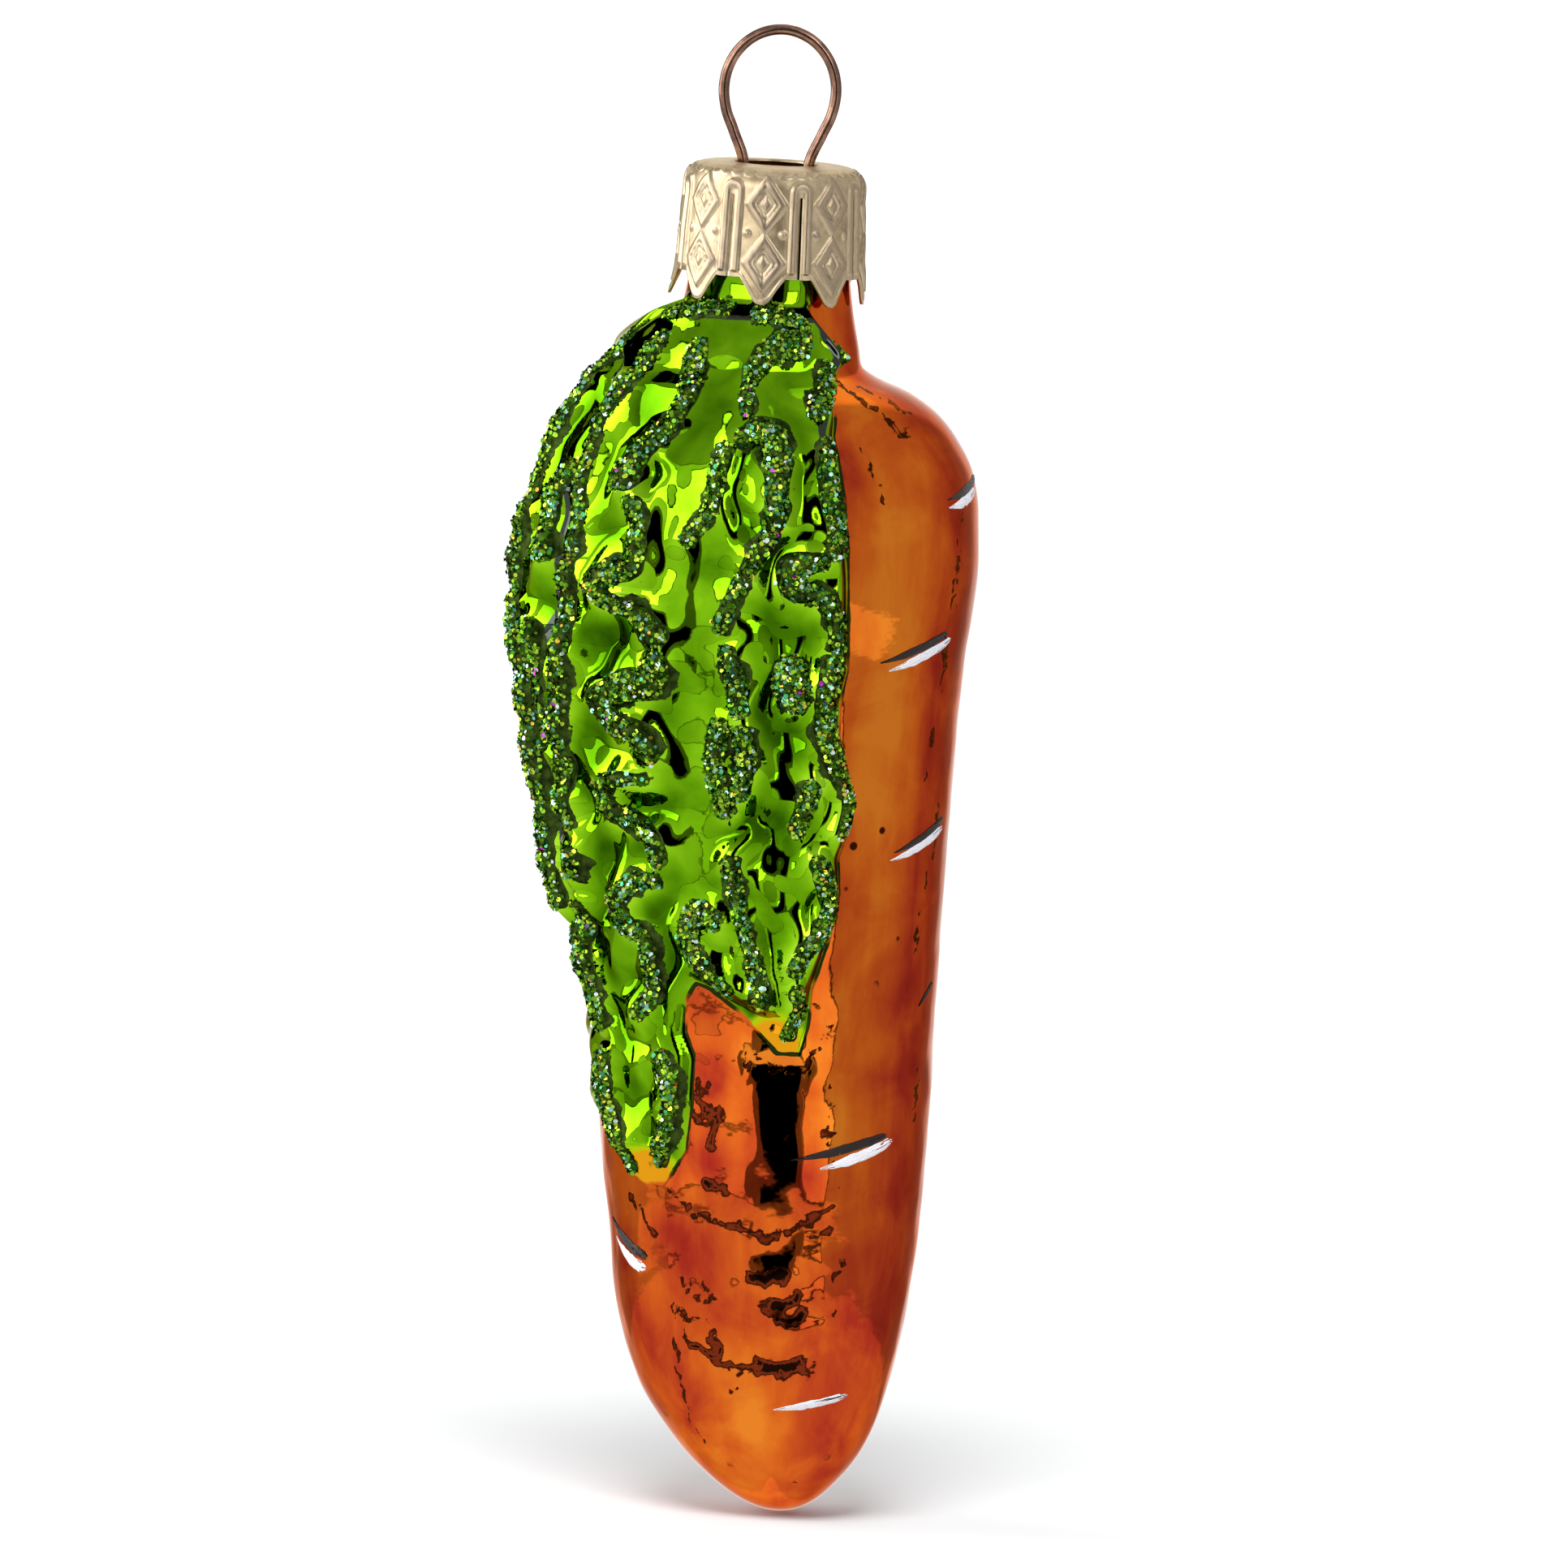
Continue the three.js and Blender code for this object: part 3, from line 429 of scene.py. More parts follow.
class GlitterPath:
    """Flat path of a glitter line in mm, by the distance along it, with its width."""

    def __init__(self, share, route):
        points = np.array([
            (deg * LEAF_PLANE_MM_PER_DEG, z_of_percent(percent), GLITTER_WIDTH * share * wide)
            for deg, percent, wide in route])
        before = 2 * points[0] - points[1]
        after = 2 * points[-1] - points[-2]
        knots = np.vstack([before, points, after])
        t = np.linspace(0, 1, PATH_STEPS, endpoint=False)[:, None]
        parts = []
        for a, b, c, d in zip(knots[:-3], knots[1:-2], knots[2:-1], knots[3:]):
            square = (2 * a - 5 * b + 4 * c - d) * t ** 2
            parts.append(0.5 * (2 * b + (c - a) * t + square + (3 * b - a - 3 * c + d) * t ** 3))
        line = np.vstack(parts + [points[-1:]])
        self.x, self.z, self.width = line.T
        steps = np.hypot(np.diff(self.x), np.diff(self.z))
        self.at = np.concatenate([[0], np.cumsum(steps)])
        self.length = self.at[-1]
        length = np.hypot(np.gradient(self.x), np.gradient(self.z))
        self.tangent_x = np.gradient(self.x) / length
        self.tangent_z = np.gradient(self.z) / length
        self.extra = 0.3 * self.width.mean()

    def tangent(self, along):
        """Direction of the path at a distance along it."""
        tx = np.interp(along, self.at, self.tangent_x)
        tz = np.interp(along, self.at, self.tangent_z)
        length = np.hypot(tx, tz)
        return tx / length, tz / length

    def place(self, along, offset):
        """Degrees round and height of a point beside the path, or past its ends."""
        tx, tz = self.tangent(along)
        past = along - np.clip(along, 0, self.length)
        x = np.interp(along, self.at, self.x) + past * tx - offset * tz
        z = np.interp(along, self.at, self.z) + past * tz + offset * tx
        return x / LEAF_PLANE_MM_PER_DEG, z


GLITTER_PATHS = [GlitterPath(share, route) for _, share, route in GLITTER]


def vein_lattice():
    """Share of a vein's height on a lattice over the leaf: the mould's veins run under the glitter lines."""
    turns = np.arange(VEINS_FROM_DEG, VEINS_TO_DEG, VEIN_CELL / LEAF_PLANE_MM_PER_DEG)
    x = turns * LEAF_PLANE_MM_PER_DEG
    z = np.arange(FOOT_Z - 1.05 * LEAF_LENGTH, FOOT_Z + 3, VEIN_CELL)
    grid_x, grid_z = np.meshgrid(x, z, indexing="ij")
    nearest = np.full(grid_x.shape, 1e9)
    for path in GLITTER_PATHS:
        for px, pz in zip(path.x[::8], path.z[::8]):
            nearest = np.minimum(nearest, np.hypot(grid_x - px, grid_z - pz))
    return x[0], z[0], hump(nearest, VEIN_WIDTH)


VEINS_X, VEINS_Z, VEINS = vein_lattice()


def vein(across, down):
    """Share of a vein's height at a place, from the lattice."""
    u = np.clip((across - VEINS_X) / VEIN_CELL, 0, VEINS.shape[0] - 1.001)
    v = np.clip((down + FOOT_Z - VEINS_Z) / VEIN_CELL, 0, VEINS.shape[1] - 1.001)
    i, j = u.astype(int), v.astype(int)
    u, v = u - i, v - j
    low = VEINS[i, j] * (1 - u) + VEINS[i + 1, j] * u
    high = VEINS[i, j + 1] * (1 - u) + VEINS[i + 1, j + 1] * u
    return low * (1 - v) + high * v


# How much wider the leaf's edge is where a lobe fades, as a share
TIP_FADE_WIDENING = 2.4
# Where the leaf's two lobes fade into the root: centre in degrees and percent of the root's length, half
# sizes, strength
FADE_ZONES = [(4, 59.6, 12, 2.8, 1.2), (-46, 71, 14, 2.2, 1.2)]


def zone_sum(zones, deg, percent):
    total = np.zeros(np.broadcast(deg, percent).shape)
    for centre, down, half_deg, half_percent, strength in zones:
        total += strength * hump(deg - centre, half_deg) * hump(percent - down, half_percent)
    return total


def root_percent(z):
    """Percent of the root's length below the neck's foot."""
    return (FOOT_Z - z) / ROOT_LENGTH * 100


def tip_fade(deg, z):
    """How far the leaf fades into the root, from 0 to 1."""
    return np.clip(zone_sum(FADE_ZONES, deg, root_percent(z)), 0, 1)


def leaf_height(deg, z, fine):
    """Height of the leaf above the root in mm, with its fine folds and veins only if fine."""
    deg = turned(deg)
    inwards = distance_in_leaf(deg, z)
    percent = percent_down(z)
    right = leaf_right_at(percent)
    left = leaf_left_at(percent)
    swell = LEAF_SWELL * (right + (left - right) * smooth(LEAF_RIGHT_DEG, LEAF_LEFT_DEG, deg))
    from_midrib = (deg - midrib_at(percent)) * LEAF_PLANE_MM_PER_DEG
    from_fold = (deg - fold_at(percent)) * LEAF_PLANE_MM_PER_DEG
    edge_width = LEAF_EDGE_WIDTH
    if fine:
        edge_width = LEAF_EDGE_WIDTH * (1 + TIP_FADE_WIDENING * tip_fade(deg, z))
    edge = smooth(0, edge_width, inwards)
    bead = RIM_BEAD * hump(inwards - edge_width, RIM_BEAD_WIDTH)
    midrib = MIDRIB_DEPTH * smooth(4, 9, percent) * smooth(0, MIDRIB_FADE, inwards)
    midrib = midrib * hump(from_midrib, MIDRIB_WIDTH)
    fold = FOLD_DEPTH * hump(from_fold + FOLD_WIDTH, FOLD_WIDTH) * smooth(76, 66, percent)
    across = deg * LEAF_PLANE_MM_PER_DEG
    down = z - FOOT_Z
    off_midrib = 1 - hump(from_midrib, 1.4 * MIDRIB_WIDTH)
    inside_rim = smooth(LEAF_EDGE_WIDTH, 2.7 * LEAF_EDGE_WIDTH, inwards)
    relief = CRINKLE * inside_rim * smooth(9, 14, percent) * off_midrib * crinkle(across, down)
    if fine:
        crumpled = smooth(0.6, 2.2, inwards) * (0.12 + 0.88 * smooth(9, 16, percent))
        crumpled = crumpled * (0.18 + 0.82 * off_midrib)
        relief = relief + crumpled * CRUMPLE * crumple(across, down)
        veined = smooth(0.4, 2, inwards) * (0.3 + 0.7 * smooth(8, 15, percent)) * (0.3 + 0.7 * off_midrib)
        relief = relief + veined * VEIN_HEIGHT * (vein(across, down) - 0.5)
    share = np.minimum(1, swell / FULL_RELIEF_SWELL)
    height = edge * swell + (bead - midrib - fold + relief) * share
    return np.where(inwards > 0, np.maximum(0, height), 0)


# Dents of the root: centre in degrees and percent of the root's length, half sizes in mm, depth in mm
DENTS = [
    (2, 77.5, 1.6, 1.0, 0.05), (10, 81.5, 2.4, 1.3, 0.07), (-24, 79.5, 1.8, 0.9, 0.05),
    (-27, 83, 1.7, 1.2, 0.07), (-14, 86, 2.4, 0.9, 0.06), (6, 87, 3.0, 1.0, 0.08),
    (22, 79, 1.4, 0.8, 0.04), (18, 82.5, 1.8, 0.7, 0.05), (20, 57.2, 1.1, 0.8, 0.07),
    (-22, 62, 0.9, 0.8, 0.06), (4, 61.7, 3.0, 1.0, 0.17), (-21, 59.6, 1.4, 1.0, 0.12),
]


def root_waves(deg, z):
    """Shallow waves that a mould and a hand-blown wall leave in the root."""
    x = deg * LEAF_PLANE_MM_PER_DEG
    percent = root_percent(z)
    uneven = 0.02 + 0.03 * smooth(58, 62, percent) * smooth(92, 84, percent)
    ripple = 0.045 * noise2(x / 5.5, z / 8, 21) + uneven * noise2(x / 2.4, z / 3.6, 22)
    rings = 0.04 * np.sin(z / 1.9 + 1.4 * np.sin(x / 6)) * smooth(0.2, 0.8, noise2(x / 9, z / 5, 23) + 0.4)
    dents = np.zeros(np.broadcast(deg, z).shape)
    for centre, down, half_x, half_z, depth in DENTS:
        from_x = (deg - centre) * half_width(z) * DEG
        from_z = z - FOOT_Z + down / 100 * ROOT_LENGTH
        away = np.hypot(from_x / half_x, from_z / half_z) * (1 + 0.35 * noise2(x / 1.1, z / 1.1, 24))
        dents -= depth * np.exp(-away ** 2)
    off_ends = smooth(FOOT_Z - 3, FOOT_Z - 8, z) * smooth(TIP_Z, TIP_Z + 6, z)
    return (ripple + rings + dents) * off_ends


def glass_radius(deg, z, fine=True):
    """Radius of the outside of the glass, which without fine is the part's own."""
    radius = root_radius(deg, z) + leaf_height(deg, z, fine)
    if fine:
        radius = radius + root_waves(turned(deg), z) * (distance_in_leaf(deg, z) < 0.3)
    return radius


def on_axis(deg, z, radius):
    """Points in mm at an angle from the front and a radius from the swaying axis."""
    deg, z, radius = np.broadcast_arrays(deg, z, radius)
    return np.stack([sway(z) + radius * np.sin(deg * DEG), -radius * np.cos(deg * DEG), z], axis=-1)


# Meshes

def mesh_object(name, points, faces, material=None, body=None, smooth_shading=True):
    """A piece from points in mm."""
    mesh = bpy.data.meshes.new(name)
    mesh.from_pydata((np.asarray(points, float).reshape(-1, 3) * MM).tolist(), [], faces)
    mesh.validate()
    if smooth_shading:
        mesh.shade_smooth()
    piece = bpy.data.objects.new(name, mesh)
    bpy.context.scene.collection.objects.link(piece)
    if material:
        mesh.materials.append(material)
    if body:
        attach(piece, body)
    return piece


def grid_faces(rows, columns, closed, start=0, flip=False):
    """Quads over rows of points, each row closed to a ring if asked."""
    faces = []
    last = columns if closed else columns - 1
    for j in range(rows - 1):
        for i in range(last):
            a = start + j * columns + i
            b = start + j * columns + (i + 1) % columns
            face = (a, b, b + columns, a + columns)
            faces.append(face[::-1] if flip else face)
    return faces


def point_attribute(piece, name, values):
    """A number at each point, for the piece's material to read."""
    layer = piece.data.attributes.new(name, "FLOAT", "POINT")
    layer.data.foreach_set("value", np.asarray(values, np.float32).ravel())


# Node helpers

class Nodes:
    """Short calls for building a node tree."""

    def __init__(self, owner):
        self.owner = owner
        owner.use_nodes = True
        self.tree = owner.node_tree
        self.tree.nodes.clear()

    def add(self, kind, **settings):
        node = self.tree.nodes.new(kind)
        for key, value in settings.items():
            setattr(node, key, value)
        return node

    def put(self, value, socket):
        if isinstance(value, bpy.types.NodeSocket):
            self.tree.links.new(value, socket)
        elif isinstance(value, (tuple, list)) and socket.type == "RGBA":
            socket.default_value = (*value[:3], 1)
        else:
            socket.default_value = value

    def math(self, operation, a, b=0.0):
        node = self.add("ShaderNodeMath", operation=operation)
        self.put(a, node.inputs[0])
        self.put(b, node.inputs[1])
        return node.outputs[0]

    def plus(self, a, b):
        return self.math("ADD", a, b)

    def times(self, a, b):
        return self.math("MULTIPLY", a, b)

    def step(self, value, low, high):
        """Smooth step of a value from 0 at low to 1 at high."""
        node = self.add("ShaderNodeMapRange", interpolation_type="SMOOTHSTEP")
        for socket, number in zip(node.inputs, (value, low, high, 0.0, 1.0)):
            self.put(number, socket)
        return node.outputs[0]

    def mix(self, factor, a, b):
        node = self.add("ShaderNodeMix", data_type="RGBA")
        self.put(factor, node.inputs[0])
        self.put(a, node.inputs[6])
        self.put(b, node.inputs[7])
        return node.outputs[2]

    def noise(self, scale, detail=3.0, rough=0.5, vector=None, distortion=0.0):
        node = self.add("ShaderNodeTexNoise")
        self.put(vector or self.place(), node.inputs["Vector"])
        node.inputs["Scale"].default_value = scale
        node.inputs["Detail"].default_value = detail
        node.inputs["Roughness"].default_value = rough
        node.inputs["Distortion"].default_value = distortion
        return node.outputs["Fac"]

    def wobble(self, amount, scale, detail, rough=0.5, distortion=0.0):
        """Noise about zero, half the amount up and down."""
        noise = self.noise(scale, detail, rough, distortion=distortion)
        return self.times(self.math("SUBTRACT", noise, 0.5), amount)

    def cells(self, scale):
        node = self.add("ShaderNodeTexVoronoi")
        self.put(self.place(), node.inputs["Vector"])
        node.inputs["Scale"].default_value = scale
        return node.outputs["Distance"]

    def place(self):
        return self.add("ShaderNodeTexCoord").outputs["Object"]

    def stretched(self, scale):
        """Places on the object, scaled differently on each axis."""
        node = self.add("ShaderNodeMapping")
        self.put(self.place(), node.inputs["Vector"])
        node.inputs["Scale"].default_value = scale
        return node.outputs[0]

    def attribute(self, name):
        return self.add("ShaderNodeAttribute", attribute_name=name).outputs["Fac"]

    def ramp(self, value, stops, interpolation="LINEAR"):
        node = self.add("ShaderNodeValToRGB")
        node.color_ramp.interpolation = interpolation
        elements = node.color_ramp.elements
        while len(elements) < len(stops):
            elements.new(1)
        for element, (at, colour) in zip(elements, stops):
            element.position = at
            element.color = (*colour, 1)
        self.put(value, node.inputs[0])
        return node.outputs[0]

    def bump(self, height, distance, strength=1.0):
        node = self.add("ShaderNodeBump")
        node.inputs["Strength"].default_value = strength
        node.inputs["Distance"].default_value = distance
        self.put(height, node.inputs["Height"])
        return node.outputs[0]

    def principled(self, **values):
        """End the material in a Principled shader, and give the material back."""
        shader = self.add("ShaderNodeBsdfPrincipled")
        for key, value in values.items():
            self.put(value, shader.inputs[key.replace("_", " ")])
        out = self.add("ShaderNodeOutputMaterial")
        self.tree.links.new(shader.outputs[0], out.inputs[0])
        return self.owner


# Materials

# Colours of the lacquer
# Dark-mark colours, for the real specks and stained marks and for the painted dark reflections drawn with
# them
DARK_MARK_EDGE = (0.05, 0.009, 0.003)
DARK_MARK_MIDDLE = (0.19, 0.026, 0.007)
DARK_MARK_CORE = (0.012, 0.004, 0.002)
FADED_LIME = (0.42, 0.62, 0.004)
FADED_AMBER = (0.8, 0.34, 0.008)
# Bare folds of the leaf, painted near black as a dark reflection
BARE_FOLD_DARK_REFLECTION = (0.05, 0.06, 0.05)
# Painted shade just outside the leaf's edge, under its step
BORDER_SHADE_GREEN = (0.02, 0.03, 0.004)


def orange_lacquer(n):
    """Mottled orange of the root with its specks, its stained marks and its painted dark reflections, and
    how dark those are.
    """
    clouds = n.noise(150, 4, 0.55, distortion=0.6)
    streaks = n.noise(1.0, 4, 0.6, n.stretched((380, 380, 80)), 0.4)
    tone = n.plus(n.plus(n.times(clouds, 0.65), n.times(streaks, 0.4)), n.times(n.attribute("amber"), 0.4))
    orange = n.ramp(tone, [
        (0.38, (0.3, 0.014, 0.012)), (0.5, (0.42, 0.032, 0.013)), (0.62, (0.56, 0.07, 0.013)),
        (0.76, (0.7, 0.125, 0.013)), (0.95, (0.84, 0.23, 0.02)),
    ])
    # The stain value holds real stained marks and painted dark reflections alike
    ragged = n.times(n.wobble(0.95, 520, 5, 0.7, 0.5), n.step(n.attribute("stains_and_dark_reflections"), 0.1, 0.4))
    dark_mark = n.plus(n.attribute("stains_and_dark_reflections"), ragged)
    specks = n.times(n.step(n.cells(420), 0.16, 0.11), n.step(n.noise(140), 0.58, 0.64))
    flecked = n.step(n.times(n.attribute("flecks"), n.noise(650, 4, 0.6, distortion=0.3)), 0.46, 0.5)
    dark = n.math("MAXIMUM", n.math("MAXIMUM", n.step(dark_mark, 0.47, 0.53), flecked), specks)
    orange = n.mix(dark, orange, DARK_MARK_EDGE)
    orange = n.mix(n.step(dark_mark, 0.58, 0.66), orange, DARK_MARK_MIDDLE)
    return n.mix(n.step(dark_mark, 0.74, 0.82), orange, DARK_MARK_CORE), dark


def green_lacquer(n):
    """Green of the leaf, lighter on the crests of its folds and darker in their hollows as painted shade,
    amber where a lobe fades, with the lacquer bare on some folds and painted near black there as a dark
    reflection.
    """
    clouds = n.times(n.noise(210, 4, distortion=0.5), 0.65)
    # The relief value makes the crests of the folds lighter and their hollows darker: painted shade
    green = n.ramp(n.plus(clouds, n.times(n.attribute("relief"), 0.5)), [
        (0.2, (0.016, 0.065, 0.0)), (0.4, (0.07, 0.215, 0.001)), (0.56, (0.145, 0.375, 0.003)),
        (0.72, (0.25, 0.56, 0.008)), (0.9, (0.4, 0.75, 0.03)),
    ])
    faded = n.step(n.plus(n.attribute("fade"), n.times(n.noise(700, 3), 0.3)), 0.4, 1.1)
    green = n.mix(n.step(faded, 0.05, 0.5), green, FADED_LIME)
    green = n.mix(n.step(faded, 0.55, 0.95), green, FADED_AMBER)
    # Lacquer-free folds, painted near black: a dark reflection
    bare = n.plus(n.attribute("bare_fold_dark_reflection"), n.wobble(0.5, 420, 3))
    return n.mix(n.step(bare, 0.42, 0.6), green, BARE_FOLD_DARK_REFLECTION)


def lacquered_glass():
    """Silvered glass under transparent lacquer: green on the leaf, mottled orange on the root."""
    n = Nodes(bpy.data.materials.new("lacquered_glass"))
    inwards = n.attribute("inwards")
    orange, dark = orange_lacquer(n)
    on_leaf = n.step(n.plus(inwards, n.wobble(0.5, 900, 3)), -0.12, 0.12)
    colour = n.mix(on_leaf, orange, green_lacquer(n))
    # A dark green line just outside the leaf's edge: painted shade under the leaf's step
    border_shade_reach = n.math("SUBTRACT", n.times(n.noise(500, 3), 0.5), 0.1)
    border_shade = n.math("LESS_THAN", n.math("ABSOLUTE", n.plus(inwards, 0.1)), border_shade_reach)
    colour = n.mix(n.times(border_shade, n.step(n.noise(260), 0.4, 0.5)), colour, BORDER_SHADE_GREEN)
    rough = n.plus(n.times(dark, 0.12), n.times(n.noise(700, 5), 0.035))
    height = n.plus(n.times(n.noise(380, 3), 0.6), n.times(dark, 0.1))
    return n.principled(
        Base_Color=colour, Metallic=1.0, Roughness=n.plus(rough, 0.012), Specular_Tint=(0.75, 0.6, 0.5),
        Normal=n.bump(height, 0.00004))


def cap_metal():
    """Pale gold sheet, darker where it is raised and where it has tarnished."""
    n = Nodes(bpy.data.materials.new("stamped_cap"))
    worn = n.plus(n.times(n.attribute("raised"), 0.5), n.times(n.noise(900, 5, 0.6), 0.5))
    colour = n.ramp(worn, [
        (0.16, (0.46, 0.35, 0.21)), (0.34, (0.63, 0.505, 0.325)), (0.56, (0.49, 0.385, 0.255)),
        (0.85, (0.43, 0.335, 0.235)),
    ])
    tarnish = n.step(n.noise(420, 5, 0.65, distortion=0.8), 0.56, 0.7)
    colour = n.mix(n.times(tarnish, 0.55), colour, (0.29, 0.225, 0.18))
    grain = n.noise(1.0, 4, 0.6, n.stretched((2600, 2600, 700)))
    return n.principled(
        Base_Color=colour, Metallic=1.0, Roughness=n.plus(n.times(n.noise(1500, 4), 0.16), 0.29),
        Specular_Tint=(0.8, 0.75, 0.65), Normal=n.bump(grain, 0.00003, 0.7))


def wire_metal():
    """Copper-coloured wire with darker, oxidised stretches."""
    n = Nodes(bpy.data.materials.new("oxidised_wire"))
    colour = n.ramp(n.noise(600, 5, 0.65), [
        (0.32, (0.13, 0.075, 0.058)), (0.5, (0.27, 0.15, 0.105)), (0.66, (0.42, 0.25, 0.17)),
    ])
    return n.principled(
        Base_Color=colour, Metallic=1.0, Roughness=n.plus(n.times(n.noise(1800, 4), 0.14), 0.14),
        Specular_Tint=(0.5, 0.42, 0.38), Normal=n.bump(n.noise(2500, 4), 0.00001, 0.5))


def glitter_glue():
    """Dark green glue, rough with fine grain."""
    n = Nodes(bpy.data.materials.new("glitter_glue"))
    colour = n.ramp(n.noise(1400, 4), [(0.35, (0.012, 0.022, 0.004)), (0.65, (0.05, 0.085, 0.012))])
    return n.principled(
        Base_Color=colour, Metallic=0.85, Roughness=n.plus(n.times(n.noise(2500), 0.3), 0.3),
        Specular_Tint=(0.2, 0.25, 0.15), Normal=n.bump(n.noise(3500, 4), 0.00008))


def glitter_flakes():
    """Greens for the most part, then blue-green, white, gold and a few purple flakes."""
    n = Nodes(bpy.data.materials.new("glitter_flakes"))
    colour = n.ramp(n.attribute("tint"), [
        (0.0, (0.035, 0.12, 0.006)), (0.2, (0.09, 0.24, 0.012)), (0.42, (0.21, 0.4, 0.02)),
        (0.64, (0.48, 0.66, 0.05)), (0.78, (0.05, 0.26, 0.12)), (0.87, (0.26, 0.6, 0.46)),
        (0.93, (0.7, 0.85, 0.78)), (0.975, (0.7, 0.45, 0.06)), (0.993, (0.42, 0.03, 0.4)),
    ], "CONSTANT")
    rough = n.plus(n.times(n.noise(4000), 0.2), 0.12)
    return n.principled(Base_Color=colour, Metallic=0.95, Roughness=rough, Specular_Tint=(0.5, 0.6, 0.4))


def brushed_paint(name, light, dark, roughness):
    """Paint with the marks of the brush's hairs."""
    n = Nodes(bpy.data.materials.new(name))
    hairs = n.noise(1.0, 4, 0.6, n.stretched((900, 900, 5200)))
    return n.principled(
        Base_Color=n.mix(n.step(hairs, 0.22, 0.42), dark, light),
        Roughness=n.plus(n.times(hairs, 0.2), roughness),
        Specular_IOR_Level=0.3, Normal=n.bump(hairs, 0.00005, 0.8))


# Glass shell

# Columns of the outer skin in each stretch between the leaf's borders and its fold, and the rows
BORDER_COLUMNS = 20
FRONT_COLUMNS = 96
FOLD_COLUMNS = 22
SIDE_COLUMNS = 60
BACK_COLUMNS = 92
NECK_ROWS_DOWN = [0, 0.1, 0.25, 0.5, 0.8, 1.2, 2, 3.5, 5, 6.5, 8, 9]
LEAF_ROW_STEP = 0.33
LEAF_ROWS_SHARE = 0.78
TIP_ROWS = 95
# Outer rows and columns for each one of the inner skin
INNER_ROW_STRIDE = 6
INNER_COLUMN_STRIDE = 5
# How far from the leaf's outline the lacquer's distance is worked out, mm
FIELD_REACH = 5


def glass_columns(z):
    """Degrees of the columns at one height: they follow the leaf's borders and its fold."""
    percent = percent_down(z)
    right = float(right_border_at(percent))
    fold = float(fold_at(percent))
    back = float(back_border_at(percent))
    knots = [
        (right + 4, BORDER_COLUMNS), (right - 5, FRONT_COLUMNS), (fold + 4, FOLD_COLUMNS),
        (fold - 6, SIDE_COLUMNS), (back + 5, BORDER_COLUMNS), (back - 4, BACK_COLUMNS), (right + 4 - 360, 0),
    ]
    columns = []
    for (deg, count), (end, _) in zip(knots, knots[1:]):
        columns.extend(deg + (end - deg) * k / count for k in range(count))
    return np.array(columns)


def glass_rows():
    """Heights of the outer rows, from the mouth to just above the tip."""
    leaf_end = LEAF_ROWS_SHARE * ROOT_LENGTH
    neck = MOUTH_Z - np.array(NECK_ROWS_DOWN)
    leaf = FOOT_Z + 0.3 - np.arange(0, leaf_end, LEAF_ROW_STEP)
    to_tip = np.sin(np.linspace(0, 90, TIP_ROWS + 1)[:-1] * DEG)
    return np.concatenate([neck, leaf, FOOT_Z - leaf_end - (ROOT_LENGTH - leaf_end) * to_tip])


def inner_skin(rows):
    """Rows of points on the inside of the wall, from the bore down."""
    rows = rows[rows > TIP_Z + 4 * WALL][::INNER_ROW_STRIDE]
    degs = np.array([glass_columns(z) for z in rows])[:, ::INNER_COLUMN_STRIDE]
    zs = np.repeat(rows[:, None], degs.shape[1], axis=1)
    return on_axis(degs, zs, np.where(zs > FOOT_Z, BORE_R, root_radius(degs, zs) - WALL))


def cone_faces(start, count, tip, flip=False):
    """Triangles from a closed row of points to one point."""
    faces = [(start + i, start + (i + 1) % count, tip) for i in range(count)]
    return [(b, a, c) for a, b, c in faces] if flip else faces


def mouth_faces(count, start, inner_count):
    """Faces over the lip, from the first outer row to the first inner row, which has fewer points."""
    stride = count // inner_count
    faces = []
    for i in range(inner_count):
        a = start + i
        b = start + (i + 1) % inner_count
        fan = [(stride * i + k) % count for k in range(stride + 1)]
        faces += [(fan[k + 1], fan[k], a) for k in range(stride)]
        faces.append((fan[-1], a, b))
    return faces


def lacquer_fields(degs, zs, radius):
    """Values at the outer points that the lacquer's material reads."""
    deg = turned(degs)
    leaf_side = distance_in_leaf(deg, zs)
    neck_side = (NECK_GREEN_HALF_DEG - np.abs(deg - NECK_GREEN_DEG)) * NECK_R * DEG
    green_side = np.where(zs > z_of_percent(-1) - 0.3, np.maximum(leaf_side, neck_side), leaf_side)
    percent = root_percent(zs)
    # Lighter and redder tones, with the painted reflection and shade of the leaf below its lobes
    amber = 0.4 + 0.6 * zone_sum(AMBER_ZONES, deg, percent) - 0.5 * zone_sum(RED_ZONES, deg, percent)
    return {
        "inwards": np.clip(green_side, -FIELD_REACH, FIELD_REACH),
        # Height of the fine folds, which the green turns into painted shade in the hollows
        "relief": np.clip(0.5 + radius - glass_radius(degs, zs, fine=False), 0, 1),
        "flecks": np.clip(zone_sum(FLECK_ZONES, deg, percent), 0, 1),
        "stains_and_dark_reflections": stains_and_dark_reflections(deg, zs),
        "amber": np.clip(amber, 0, 1),
        "fade": tip_fade(deg, zs),
        "bare_fold_dark_reflection": bare_folds_dark_reflection(deg, zs),
    }


